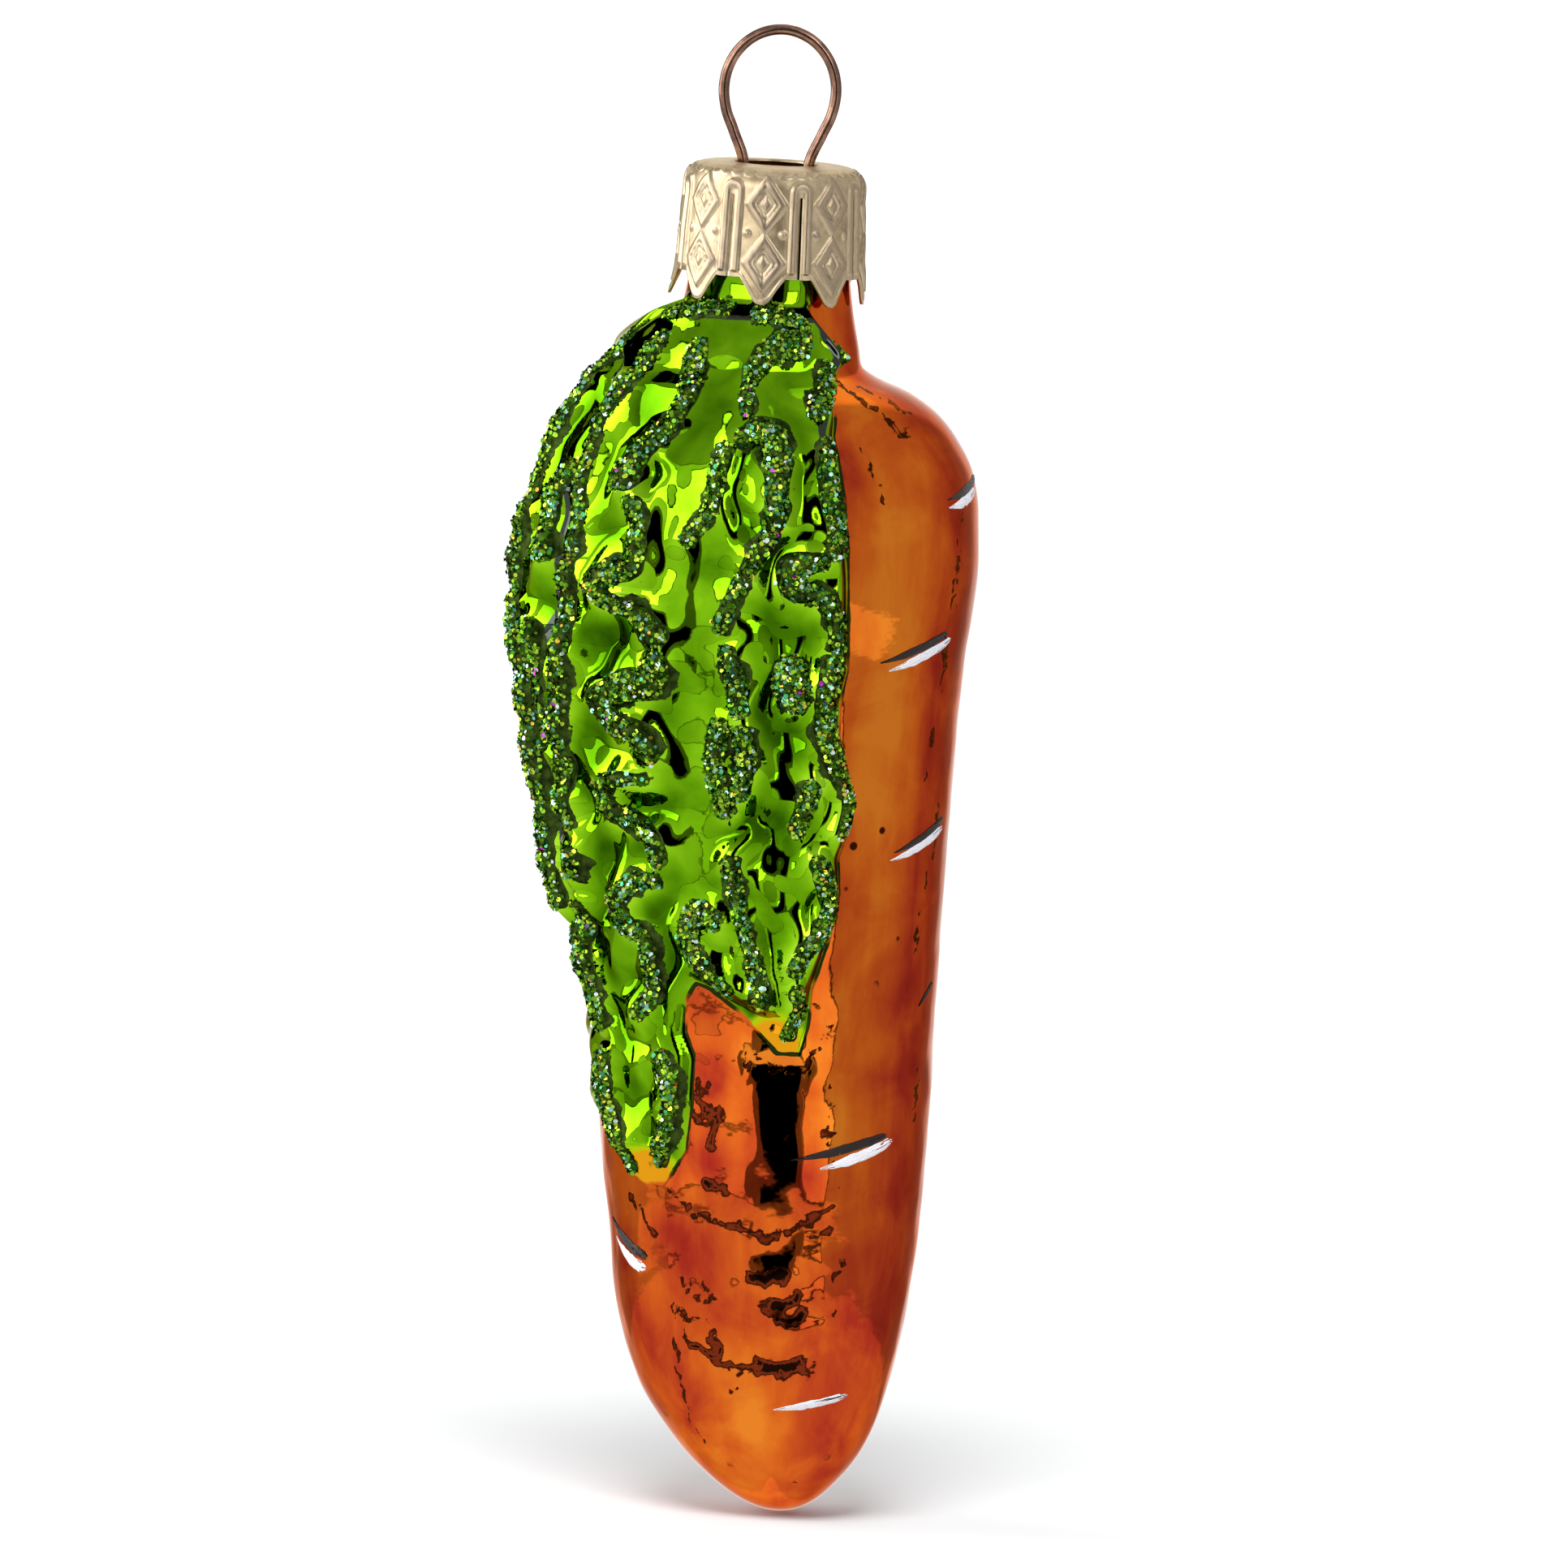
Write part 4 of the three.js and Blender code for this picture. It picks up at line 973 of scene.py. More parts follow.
def glass_shell(material):
    """Outer and inner skin of the glass in one closed wall, with its lacquer's values."""
    rows = glass_rows()
    degs = np.array([glass_columns(z) for z in rows])
    zs = np.repeat(rows[:, None], degs.shape[1], axis=1)
    radius = glass_radius(degs, zs)
    outer = on_axis(degs, zs, radius)
    inner = inner_skin(rows)
    count, inner_count = outer.shape[1], inner.shape[1]
    outer_tip = outer.size // 3
    start = outer_tip + 1
    inner_tip = start + inner.size // 3
    points = np.concatenate([
        outer.reshape(-1, 3), on_axis(0.0, TIP_Z, 0.0).reshape(1, 3),
        inner.reshape(-1, 3), on_axis(0.0, TIP_Z + 2 * WALL, 0.0).reshape(1, 3),
    ])
    faces = grid_faces(len(outer), count, True) + cone_faces(outer_tip - count, count, outer_tip)
    faces += grid_faces(len(inner), inner_count, True, start, flip=True)
    faces += cone_faces(inner_tip - inner_count, inner_count, inner_tip, flip=True)
    faces += mouth_faces(count, start, inner_count)
    piece = mesh_object("lacquered_glass_shell", points, faces, material, "glass")
    others = len(points) - outer_tip
    for name, values in lacquer_fields(degs, zs, radius).items():
        elsewhere = -FIELD_REACH if name == "inwards" else 0
        point_attribute(piece, name, np.pad(values.ravel(), (0, others), constant_values=elsewhere))
    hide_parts("glass_shell")


# Green glass under the cap: its middle and half width in degrees
NECK_GREEN_DEG = -16
NECK_GREEN_HALF_DEG = 49

# Where the orange has dark specks: centre in degrees and percent of the root's length, half sizes, strength
FLECK_ZONES = [
    (50, 9, 14, 3, 0.9), (66, 25, 6, 22, 0.8), (64, 60, 7, 14, 0.6), (20, 79, 12, 3, 0.6),
    (-5, 97.5, 40, 1.5, 0.8), (24, 94, 14, 4, 0.7),
]
# Stained marks in the lacquer, and painted dark reflections drawn the same way, such as the first row, the
# V-shaped dark line along the lower edge of the bright reflected patch: points as (degrees round, percent
# down the root),
# half width in mm, and darkness. They fade over the fade width below, and the shifts below make them ragged:
# amount, size across and down in mm, and seed.
DARK_MARK_FADE = 1.3
DARK_MARK_SHIFTS = [(0.42, 1.3, 1.1, 81), (0.2, 0.55, 0.5, 83)]
STAINS_AND_DARK_REFLECTIONS = [
    # Painted dark reflection: the V-shaped line along the lower edge of the bright reflected patch
    ([(-40, 72.6), (-25.5, 74.4), (-7.5, 75.2), (1.5, 76), (12.5, 75.1), (28, 73)], 0.24, 0.8),
    ([(-4.5, 79), (2, 79.3), (7.5, 78.8)], 0.72, 1),
    ([(1, 81.9), (8, 81.6), (15.5, 80.6)], 0.5, 1),
    ([(7.5, 82.6), (13, 82.9), (18, 82)], 0.5, 1),
    ([(16, 82.4), (24, 83), (33, 81.8), (30, 81.2)], 0.1, 0.7),
    ([(19.5, 75.7), (27.5, 75.1)], 0.3, 0.9),
    ([(28.5, 78.6), (33, 77.6), (35, 77.9), (30, 79.3), (28.5, 78.6)], 0.12, 0.8),
    ([(-34.5, 79.7), (-31, 81), (-24, 81.8), (-20, 81.4), (-24, 80.3), (-34.5, 79.7)], 0.12, 0.8),
    ([(-36, 82.2), (-31.5, 83.4), (-24, 83.2), (-19, 84.4)], 0.12, 0.8),
    ([(-36, 82.2), (-33, 85), (-29, 85.6)], 0.12, 0.8),
    ([(-31, 85.3), (-24, 86), (-15, 86.9)], 0.5, 1),
    ([(-22, 84.6), (-19, 86)], 0.45, 1),
    ([(-14, 86.9), (-4, 87), (8, 87.4)], 0.42, 1),
    ([(-1, 86.4), (7, 86.9), (18, 86.6)], 0.62, 1),
    ([(18, 86.9), (22, 87.6), (27, 86.2), (22, 85.9)], 0.12, 0.7),
    ([(-15, 89)], 0.2, 1),
    ([(-11.5, 88.8)], 0.17, 1),
    ([(5.5, 90.7)], 0.15, 1),
    ([(-38.5, 81.6), (-41, 88.6), (-44, 94.3)], 0.11, 0.7),
    ([(-25, 62.8), (-20.5, 63.2), (-20, 63.9), (-23.5, 64.2), (-25, 62.8)], 0.13, 0.9),
    ([(-24.5, 64.8), (-17, 66.3), (-20, 68.4)], 0.45, 0.85),
    ([(-27, 66.2), (-21, 66.6), (-16, 65.6)], 0.3, 0.85),
    ([(-21.5, 71.6), (-15, 72.2)], 0.4, 0.85),
    ([(-8.5, 61.3), (-4.5, 62.2), (-6, 60.8)], 0.2, 0.9),
    ([(-3, 60.6), (3, 61.6), (13, 62.1), (19, 60.5), (24, 59.2)], 0.14, 0.8),
    ([(20, 59.3), (22.5, 57.7), (25, 58.2), (23.5, 59.3), (20, 59.3)], 0.16, 0.9),
    ([(24.5, 60.4), (25, 62.5), (27, 63.9), (22.5, 67.2), (27.5, 68.6), (30, 71.6)], 0.13, 0.75),
    ([(23, 66.8), (28, 67.2)], 0.2, 0.8),
    ([(41.5, 5.6), (43, 7), (47.5, 8.3)], 0.3, 0.9),
    ([(52, 5.8), (57.5, 7.1), (66, 7.9)], 0.22, 0.9),
    ([(62, 5.9), (70, 7)], 0.15, 0.8),
    ([(44, 9), (49, 9.8)], 0.15, 0.7),
    ([(32.5, 10.6), (33, 12.2), (36.5, 15.1)], 0.12, 0.8),
    ([(68.5, 16.2), (66, 18), (66, 20.2)], 0.25, 0.9),
    ([(64, 21), (64.5, 24.2)], 0.18, 0.9),
    ([(64, 26.3), (64.5, 30.4)], 0.22, 0.9),
    ([(62, 33.7), (60, 37.7)], 0.2, 0.9),
    ([(64.5, 46), (61, 51.9)], 0.2, 0.9),
    ([(67, 62), (66, 66.2)], 0.2, 0.8),
    ([(69, 40), (68, 44)], 0.15, 0.8),
    ([(-52, 74.6), (-50, 75.8), (-46, 76.6)], 0.25, 1),
    ([(-58, 73.6), (-56, 74.6)], 0.25, 1),
]
# Where the orange is lighter and where it is redder, as for the specks. The two amber zones just below the
# right lobe's tip are a painted reflection, and the strong red zone in the notch between the lobes is
# painted shade of the leaf on the root.
AMBER_ZONES = [
    (40, 30, 13, 26, 1.0), (-8, 91, 14, 5, 0.9), (34, 62, 10, 9, 0.5), (-56, 77, 6, 4, 0.7),
    (12, 61, 12, 1.6, 0.8), (6, 60.8, 15, 1.6, 1.8), (26, 66, 5, 6, 0.9), (-12, 66, 5, 3, 0.6),
    (-26, 72, 6, 1.5, 0.5),
]
RED_ZONES = [
    (70, 44, 14, 44, 1.5), (64, 68, 18, 16, 0.8), (27, 13, 8, 5, 0.9), (40, 84, 16, 9, 0.9),
    (-60, 86, 20, 9, 0.8), (-22, 70, 8, 2.4, 0.7), (-21, 62.6, 7, 1.7, 2.2), (-30, 77, 16, 3, 0.6),
    (44, 95, 14, 5, 0.7), (46, 57, 10, 2, 0.6),
]


def stains_and_dark_reflections(deg, z):
    """How deep in a dark mark a place is, stained or painted as a dark reflection: 0.5 at its edge, and one
    more for each fade width further in.
    """
    mm_per_deg = np.maximum(half_width(z), 1) * DEG
    across = deg * mm_per_deg
    shift_x, shift_z = (
        sum(amount * noise2(across / wide, z / high, seed + k) for amount, wide, high, seed in DARK_MARK_SHIFTS)
        for k in range(2))
    deg = deg + shift_x / mm_per_deg
    z = z + shift_z
    field = np.zeros(deg.shape)
    for points, half, darkness in STAINS_AND_DARK_REFLECTIONS:
        places = [(turn, FOOT_Z - percent / 100 * ROOT_LENGTH) for turn, percent in points]
        away = np.full(deg.shape, 1e9)
        for (deg_1, z_1), (deg_2, z_2) in zip(places, places[1:] or places):
            along_x, along_z = (deg_2 - deg_1) * mm_per_deg, z_2 - z_1
            from_x, from_z = (deg - deg_1) * mm_per_deg, z - z_1
            square = along_x ** 2 + along_z ** 2 + 1e-9
            t = np.clip((from_x * along_x + from_z * along_z) / square, 0, 1)
            away = np.minimum(away, np.hypot(from_x - t * along_x, from_z - t * along_z))
        field = np.maximum(field, np.minimum(0.5 + (half - away) / DARK_MARK_FADE, darkness))
    return np.clip(field, 0, 1)


def bare_folds_dark_reflection(deg, z):
    """Where the lacquer ran off the leaf and left the glass bare, painted near black there as a dark
    reflection: top rim, fold, right groove and edge.
    """
    percent = percent_down(z)
    inwards = distance_in_leaf(deg, z)
    from_fold = (deg - fold_at(percent)) * LEAF_PLANE_MM_PER_DEG
    rim = hump(inwards - 1.0, 0.36) * smooth(3.5, 1.5, percent) * smooth(-78, -66, deg)
    fold = hump(from_fold + FOLD_WIDTH, 0.36) * smooth(2, 4, percent) * smooth(66, 60, percent)
    groove = hump(inwards - 1.5, 0.42) * smooth(1, 3, percent) * smooth(16, 12, percent) * smooth(5, 15, deg)
    edge = hump(inwards - 0.55, 0.3) * smooth(45, 50, percent) * smooth(74, 70, percent) * smooth(0, 8, deg)
    return np.clip(rim + fold + groove + edge, 0, 1)


# Glitter lines

# The domed line: its height, how far it sags over a groove, how far its rim is sunk, and the least and the
# further width of bare glue beside it, mm
BEAD_HEIGHT = 0.5
BEAD_SAG = 0.12
BEAD_SUNK = 0.05
BEAD_MARGIN = 0.08
FILM_WIDTH = 0.75
# Distance between its rows of points, mm, and the points in a row
GLUE_STEP = 0.17
GLUE_COLUMNS = 17
# Flakes: their spacing and size in mm, their number for each square of the spacing, how far round the dome
# they lie, how far they tilt, the share that fell beside the line, the narrowest half line that has any, and
# the step that finds the way out of the dome
FLAKE_PITCH = 0.2
FLAKE_R = 0.17
FLAKES_PER_SQUARE = 1.25
FLAKE_REACH_DEG = 68
FLAKE_TILT = 0.42
FLAKES_FALLEN = 0.04
FLAKE_LEAST_HALF_WIDTH = 0.2
FLAKE_PROBE = 0.05


def bead_half_width(path, along, side, seed):
    """Half the width of a line, waving along it and rounded at both ends."""
    wave = 0.97 + 0.17 * noise2(along / 1.4 + 7.3 * side, np.full_like(along, 0.37 * seed), 31)
    wave += 0.08 * noise2(along / 0.45 + 3.1 * side, np.full_like(along, 0.37 * seed), 32)
    radius = np.interp(along, path.at, path.width) / 2
    to_end = np.minimum(along + path.extra, path.length + path.extra - along) / (1.1 * radius)
    return radius * wave * np.sqrt(1 - (1 - np.clip(to_end, 0, 1)) ** 2 + 1e-4)


def film_width(along, side, seed):
    """Width of the bare glue that ran out beside a line here and there."""
    patchy = smooth(-0.1, 0.35, noise2(along / 2.4 + 11 * side, np.full_like(along, 0.53 * seed), 35))
    ragged = 0.75 + 0.35 * noise2(along / 0.4 + 5 * side, np.full_like(along, 0.53 * seed), 36)
    return BEAD_MARGIN + FILM_WIDTH * patchy * ragged


def bead_surface(path, along, across, half):
    """Point on the domed line, with across from -1 to 1, and on the flat glue past those."""
    deg, z = path.place(along, across * half)
    crumpled = glass_radius(deg, z)
    middle_deg, middle_z = path.place(along, 0 * across)
    bridged = glass_radius(middle_deg, middle_z) - BEAD_SAG
    near = np.clip(np.abs(across), 0, 1)
    inner = 1 - near ** 3
    dome = BEAD_HEIGHT * np.minimum(1, half / 0.7) * np.clip(1 - near ** 2, 0, 1) ** 0.6
    grain = 0.05 * noise2(along / 0.32, across * half / 0.32 + 9.1, 33) * inner
    base = crumpled * (1 - inner) + np.maximum(crumpled, bridged) * inner
    return on_axis(deg, z, base + dome + grain + BEAD_SUNK * (1 - inner))


def glue_points(path, number):
    """Rows of points over a line, from rim to rim, with both rims sunk into the glass."""
    rows = max(8, round((path.length + 2 * path.extra) / GLUE_STEP))
    dome = np.sin(np.linspace(-90, 90, GLUE_COLUMNS - 4) * DEG)
    spread = np.concatenate([[-1.6, -1.25], dome, [1.25, 1.6]])
    stations = np.linspace(-path.extra, path.length + path.extra, rows)
    along = np.repeat(stations[:, None], GLUE_COLUMNS, axis=1)
    across = np.repeat(spread[None, :], rows, axis=0)
    side = np.sign(across)
    half = bead_half_width(path, along, side, number)
    film = film_width(along, side, number) * np.clip(half / (0.4 * path.width.mean()), 0, 1)
    beyond = np.clip((np.abs(across) - 1) / 0.6, 0, 1)
    across = side * (np.minimum(np.abs(across), 1) + beyond * film / half)
    points = bead_surface(path, along, across, half)
    deg, z = path.place(along, across * half)
    sunk = on_axis(deg, z, glass_radius(deg, z) - BEAD_SUNK)
    points[:, [0, -1]] = sunk[:, [0, -1]]
    return points


def unit(vectors):
    return vectors / (np.linalg.norm(vectors, axis=-1)[..., None] + 1e-12)


def strewn(path, number, rng):
    """Places of a line's flakes: distance along, share across, and the half width there."""
    length = path.length + 2 * path.extra
    count = int(FLAKES_PER_SQUARE * length * path.width.mean() / FLAKE_PITCH ** 2)
    along = rng.random(count) * length - path.extra
    along = along[rng.random(count) < np.interp(along, path.at, path.width) / path.width.max()]
    angle = rng.uniform(-FLAKE_REACH_DEG, FLAKE_REACH_DEG, len(along))
    fallen = rng.random(len(along)) < FLAKES_FALLEN
    across = np.sin(angle * DEG) * np.where(fallen, rng.uniform(1.05, 1.3, len(along)), 1)
    half = bead_half_width(path, along, np.sign(across), number)
    keep = half > FLAKE_LEAST_HALF_WIDTH
    return along[keep], across[keep], half[keep]


def line_normal(path, along, across, half):
    """Points on a line and the directions out of it."""
    centre = bead_surface(path, along, across, half)
    ahead = bead_surface(path, along + FLAKE_PROBE, across, half)
    aside = bead_surface(path, along, across + FLAKE_PROBE, half)
    back = bead_surface(path, along, across - FLAKE_PROBE, half)
    normal = unit(np.cross(ahead - centre, aside - back))
    outward = centre - np.stack([sway(centre[:, 2]), np.zeros(len(centre)), centre[:, 2]], axis=1)
    return centre, normal * np.sign((normal * outward).sum(axis=1))[:, None]


def flake_rings(path, number, rng):
    """Corners of flat hexagonal flakes strewn over a line, most of them lying down."""
    centre, normal = line_normal(path, *strewn(path, number, rng))
    middle = centre + normal * rng.uniform(0.02, 0.14, len(centre))[:, None]
    normal = unit(normal + rng.normal(0, FLAKE_TILT, centre.shape))
    first = unit(np.cross(normal, rng.normal(size=centre.shape)))
    second = np.cross(normal, first)
    size = (FLAKE_R * rng.uniform(0.7, 1.2, len(centre)))[:, None, None]
    turns = np.arange(6) * 60 * DEG
    across = np.cos(turns)[None, :, None] * first[:, None, :]
    return middle[:, None, :] + size * (across + np.sin(turns)[None, :, None] * second[:, None, :])


def sprinkle(body, path, number):
    """Add the flakes to a line as single faces with the second material, each with a tint of its own."""
    rng = np.random.default_rng(400 + number)
    rings = flake_rings(path, number, rng)
    edit = bmesh.new()
    edit.from_mesh(body.data)
    tint_layer = edit.verts.layers.float.new("tint")
    for corners, tint in zip((rings * MM).tolist(), rng.random(len(rings))):
        vertices = [edit.verts.new(corner) for corner in corners]
        for vertex in vertices:
            vertex[tint_layer] = tint
        face = edit.faces.new(vertices)
        face.material_index = 1
        face.smooth = False
    edit.to_mesh(body.data)
    edit.free()


def glitter():
    """One piece for each line: the glue, and the flakes on it."""
    glue = glitter_glue()
    flakes = glitter_flakes()
    for number, ((name, _, _), path) in enumerate(zip(GLITTER, GLITTER_PATHS)):
        points = glue_points(path, number)
        body = mesh_object("glitter_" + name, points, grid_faces(len(points), GLUE_COLUMNS, False), glue)
        body.data.materials.append(flakes)
        sprinkle(body, path, number)
        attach(body, "glass")
        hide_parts("glitter_" + name)


# Stamped cap

# Columns round it, and rows of its top, shoulder, skirt and petals
CAP_COLUMNS = 384
CAP_TOP_ROWS = 8
CAP_SHOULDER_ROWS = 20
CAP_SKIRT_ROWS = 49
CAP_PETAL_ROWS = 22
# Thickness of this sheet, height and width of the lip round the hole, the number of scallops round the
# shoulder, and how far down it they begin, in mm
CAP_WALL = 0.22
HOLE_LIP = 0.1
HOLE_LIP_WIDTH = 0.25
SCALLOPS = 40
SCALLOP_DOWN = 0.85
# How far each petal's tip is bent out, and how wide the slit after it gapes, mm, from the front to the right
PETAL_BENDS = [0.0, 0.06, 0.02, 0.1, -0.04, 0.08, 0.36, -0.05]
SLIT_GAPES = [0.16, 0.12, 0.2, 0.1, 0.18, 0.14, 0.12, 0.06]


def cap_radius(z):
    """Outside radius of the cap at a height, flared down the skirt."""
    down = np.maximum(0, (CAP_TOP_Z - SHOULDER_R - z) / (CAP_HEIGHT - SHOULDER_R))
    return CAP_R + CAP_FLARE * down


def petal_bottom(x):
    """Height of the cut edge at a distance round from a petal's middle."""
    side = np.abs(x)
    slope = (side - PETAL_TIP_HALF_WIDTH) / (PETAL_HALF_WIDTH - PETAL_TIP_HALF_WIDTH)
    rounded = 0.22 * np.clip(side / PETAL_TIP_HALF_WIDTH, 0, 1) ** 2
    return SKIRT_Z - PETAL_DROP * np.clip(1 - slope, 0, 1) + rounded * smooth(1.3, 0.4, slope)


def ridge(distance, half, soft=0.07):
    """1 on a line and 0 past its half width, with soft flanks."""
    return smooth(half + soft, half - soft, np.abs(distance))


def lozenge_distance(x, z, centre, half_x, half_z):
    """Distance out from a lozenge's outline, negative in it."""
    steepness = math.hypot(1 / half_x, 1 / half_z)
    return (np.abs(x) / half_x + np.abs(z - centre) / half_z - 1) / steepness


def embossing(x, z):
    """Raised height of the skirt, as a share, at a distance round from a panel's middle and a height."""
    w = LOZENGE_HALF_WIDTH
    waist = CAP_TOP_Z - WAIST_BELOW_TOP
    raised = np.zeros(np.broadcast(x, z).shape)
    for centre in (waist + LOZENGE_HALF_HEIGHT, waist - LOZENGE_HALF_HEIGHT):
        band = lozenge_distance(x, z, centre, w, LOZENGE_HALF_HEIGHT) + BAND_WIDTH / 2
        raised = np.maximum(raised, ridge(band, BAND_WIDTH / 2, 0.05))
        seed = lozenge_distance(x, z, centre, 0.55 * w, 0.58 * LOZENGE_HALF_HEIGHT) + 0.09
        raised = np.maximum(raised, 0.85 * ridge(seed, 0.08, 0.06))
        heart = lozenge_distance(x, z, centre, 0.3 * w, 0.34 * LOZENGE_HALF_HEIGHT)
        raised = np.maximum(raised, 0.8 * smooth(0.05, -0.16, heart))
    for side in (-1, 1):
        stud = np.hypot(x - side * 0.85 * w, z - waist) / STUD_R
        raised = np.maximum(raised, 0.9 * np.sqrt(np.clip(1 - stud ** 2, 0, 1)))
    from_gap = math.pi * CAP_R / PETALS - np.abs(x)
    arch_z = CAP_TOP_Z - 0.75 * SHOULDER_R - RIB_OFFSET
    from_rib = np.hypot(from_gap, np.maximum(0, z - arch_z)) - RIB_OFFSET
    bar = np.sqrt(np.clip(1 - (from_rib / (0.62 * RIB_WIDTH)) ** 2, 0, 1))
    raised = np.maximum(raised, 0.95 * bar * smooth(SKIRT_Z + 0.3, SKIRT_Z + 0.55, z))
    hem = ridge(z - petal_bottom(x) - 0.35, 0.09, 0.08)
    hem *= smooth(PETAL_HALF_WIDTH + 0.1, PETAL_HALF_WIDTH - 0.3, np.abs(x))
    return np.maximum(raised, 0.4 * hem)


def cap_columns():
    """Turn of each column round the cap, in degrees, with the two at each slit drawn together."""
    pitch = 360 / CAP_COLUMNS
    turn = np.arange(CAP_COLUMNS) * pitch
    per_panel = CAP_COLUMNS // PETALS
    for panel, gape in enumerate(SLIT_GAPES):
        middle = panel * per_panel + per_panel // 2
        for side in (-1, 1):
            turn[(middle + side) % CAP_COLUMNS] = middle * pitch + side * 0.5 * gape / (CAP_R * DEG)
    return turn


def cap_rows(bottom):
    """Radius, height, and outward and upward share of the direction out of the sheet, row by row."""
    ones = np.ones(CAP_COLUMNS)
    rows = []
    for radius in np.linspace(HOLE_R, CAP_R - SHOULDER_R, CAP_TOP_ROWS + 1)[:-1]:
        lip = HOLE_LIP * hump(radius - HOLE_R - HOLE_LIP_WIDTH, HOLE_LIP_WIDTH)
        rows.append((radius * ones, (CAP_TOP_Z + lip) * ones, 0.0, 1.0))
    for angle in np.linspace(0, 90, CAP_SHOULDER_ROWS + 1)[:-1]:
        out, up = math.sin(angle * DEG), math.cos(angle * DEG)
        radius = CAP_R - SHOULDER_R + SHOULDER_R * out
        rows.append((radius * ones, (CAP_TOP_Z - SHOULDER_R + SHOULDER_R * up) * ones, out, up))
    blend_z = SKIRT_Z + 0.7
    for z in np.linspace(CAP_TOP_Z - SHOULDER_R, blend_z, CAP_SKIRT_ROWS + 1)[:-1]:
        rows.append((cap_radius(z) * ones, z * ones, 1.0, 0.0))
    for share in np.linspace(0, 1, CAP_PETAL_ROWS):
        z = blend_z + (bottom - blend_z) * share
        rows.append((cap_radius(z), z, 1.0, 0.0))
    return (np.array([row[k] * ones for row in rows]) for k in range(4))


def cap_relief(turn, x, height, out, up):
    """Raised height of the sheet in mm: the stamped skirt and the scallops round the shoulder."""
    from_top = np.arctan2(out, up) * SHOULDER_R
    on_skirt = height < CAP_TOP_Z - 0.3 * SHOULDER_R
    pitch = 2 * math.pi * CAP_R / SCALLOPS
    across = ((turn * SCALLOPS / 360) % 1 - 0.5) * pitch
    arc = np.hypot(across[None, :], np.maximum(0, from_top - SCALLOP_DOWN)) - 0.47 * pitch
    scallop = ridge(arc, 0.05, 0.07) * smooth(SCALLOP_DOWN - 0.15, SCALLOP_DOWN, from_top)
    return EMBOSS * np.maximum(embossing(x[None, :], height) * on_skirt, 0.55 * scallop * (out > 0.2))


def cap_faces(height):
    """Faces of both skins and of the cut edges between them, with the cells of the slits left out."""
    count = len(height)
    per_panel = CAP_COLUMNS // PETALS
    slits = {
        (panel * per_panel + per_panel // 2 + k) % CAP_COLUMNS for panel in range(PETALS) for k in (-1, 0)}
    slit_top = SKIRT_Z + SLIT_LENGTH
    open_cells = {(j, i) for j in range(count - 1) for i in slits if height[j, i] < slit_top}
    offset = count * CAP_COLUMNS
    faces = []
    for j in range(count - 1):
        for i in range(CAP_COLUMNS):
            if (j, i) in open_cells:
                continue
            a = j * CAP_COLUMNS + i
            b = j * CAP_COLUMNS + (i + 1) % CAP_COLUMNS
            c, d = b + CAP_COLUMNS, a + CAP_COLUMNS
            faces.append((a, b, c, d))
            faces.append((d + offset, c + offset, b + offset, a + offset))
            beside = [
                ((j - 1, i), (a, b)), ((j + 1, i), (c, d)), ((j, i - 1), (d, a)), ((j, i + 1), (b, c))]
            for (row, column), (first, second) in beside:
                if not 0 <= row < count - 1 or (row, column % CAP_COLUMNS) in open_cells:
                    faces.append((second, first, first + offset, second + offset))
    return faces


def stamped_cap(material):
    """The cap as a double sheet, stamped, slit and bent."""
    turn = cap_columns()
    half_panel = 180 / PETALS
    x = (((turn + half_panel) % (2 * half_panel)) - half_panel) * DEG * CAP_R
    radius, height, out, up = cap_rows(petal_bottom(x))
    raised = cap_relief(turn, x, height, out, up)
    panel = np.round(turn / (2 * half_panel)).astype(int) % PETALS
    down_petal = np.clip((SKIRT_Z + 0.4 - height) / PETAL_DROP, 0, 2)
    bend = np.array(PETAL_BENDS)[panel][None, :] * down_petal ** 1.5
    wobble = 0.05 * noise2(turn[None, :] / 16, height / 1.9, 51) * out
    lean = (PANEL_TURN_DEG + turn) * DEG

    def skin(depth, share):
        r = radius + (share * raised - depth) * out + wobble + bend
        z = height + (share * raised - depth) * up
        return np.stack([r * np.sin(lean), -r * np.cos(lean), z], axis=-1).reshape(-1, 3)

    points = np.concatenate([skin(0, 1), skin(CAP_WALL, 0.6)])
    piece = mesh_object("stamped_cap_sheet", points, cap_faces(height), material, "cap")
    shares = (raised / EMBOSS).ravel()
    point_attribute(piece, "raised", np.concatenate([shares, shares]))
    tidy_normals(piece)
    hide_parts("cap")


def tidy_normals(piece):
    """Drop the points that no face uses, and turn the faces outward."""
    edit = bmesh.new()
    edit.from_mesh(piece.data)
    loose = [vertex for vertex in edit.verts if not vertex.link_faces]
    bmesh.ops.delete(edit, geom=loose, context="VERTS")
    bmesh.ops.recalc_face_normals(edit, faces=edit.faces)
    edit.to_mesh(piece.data)
    edit.free()


# Wire hanger

WIRE_SECTION_SIDES = 20
WIRE_STATIONS = 260


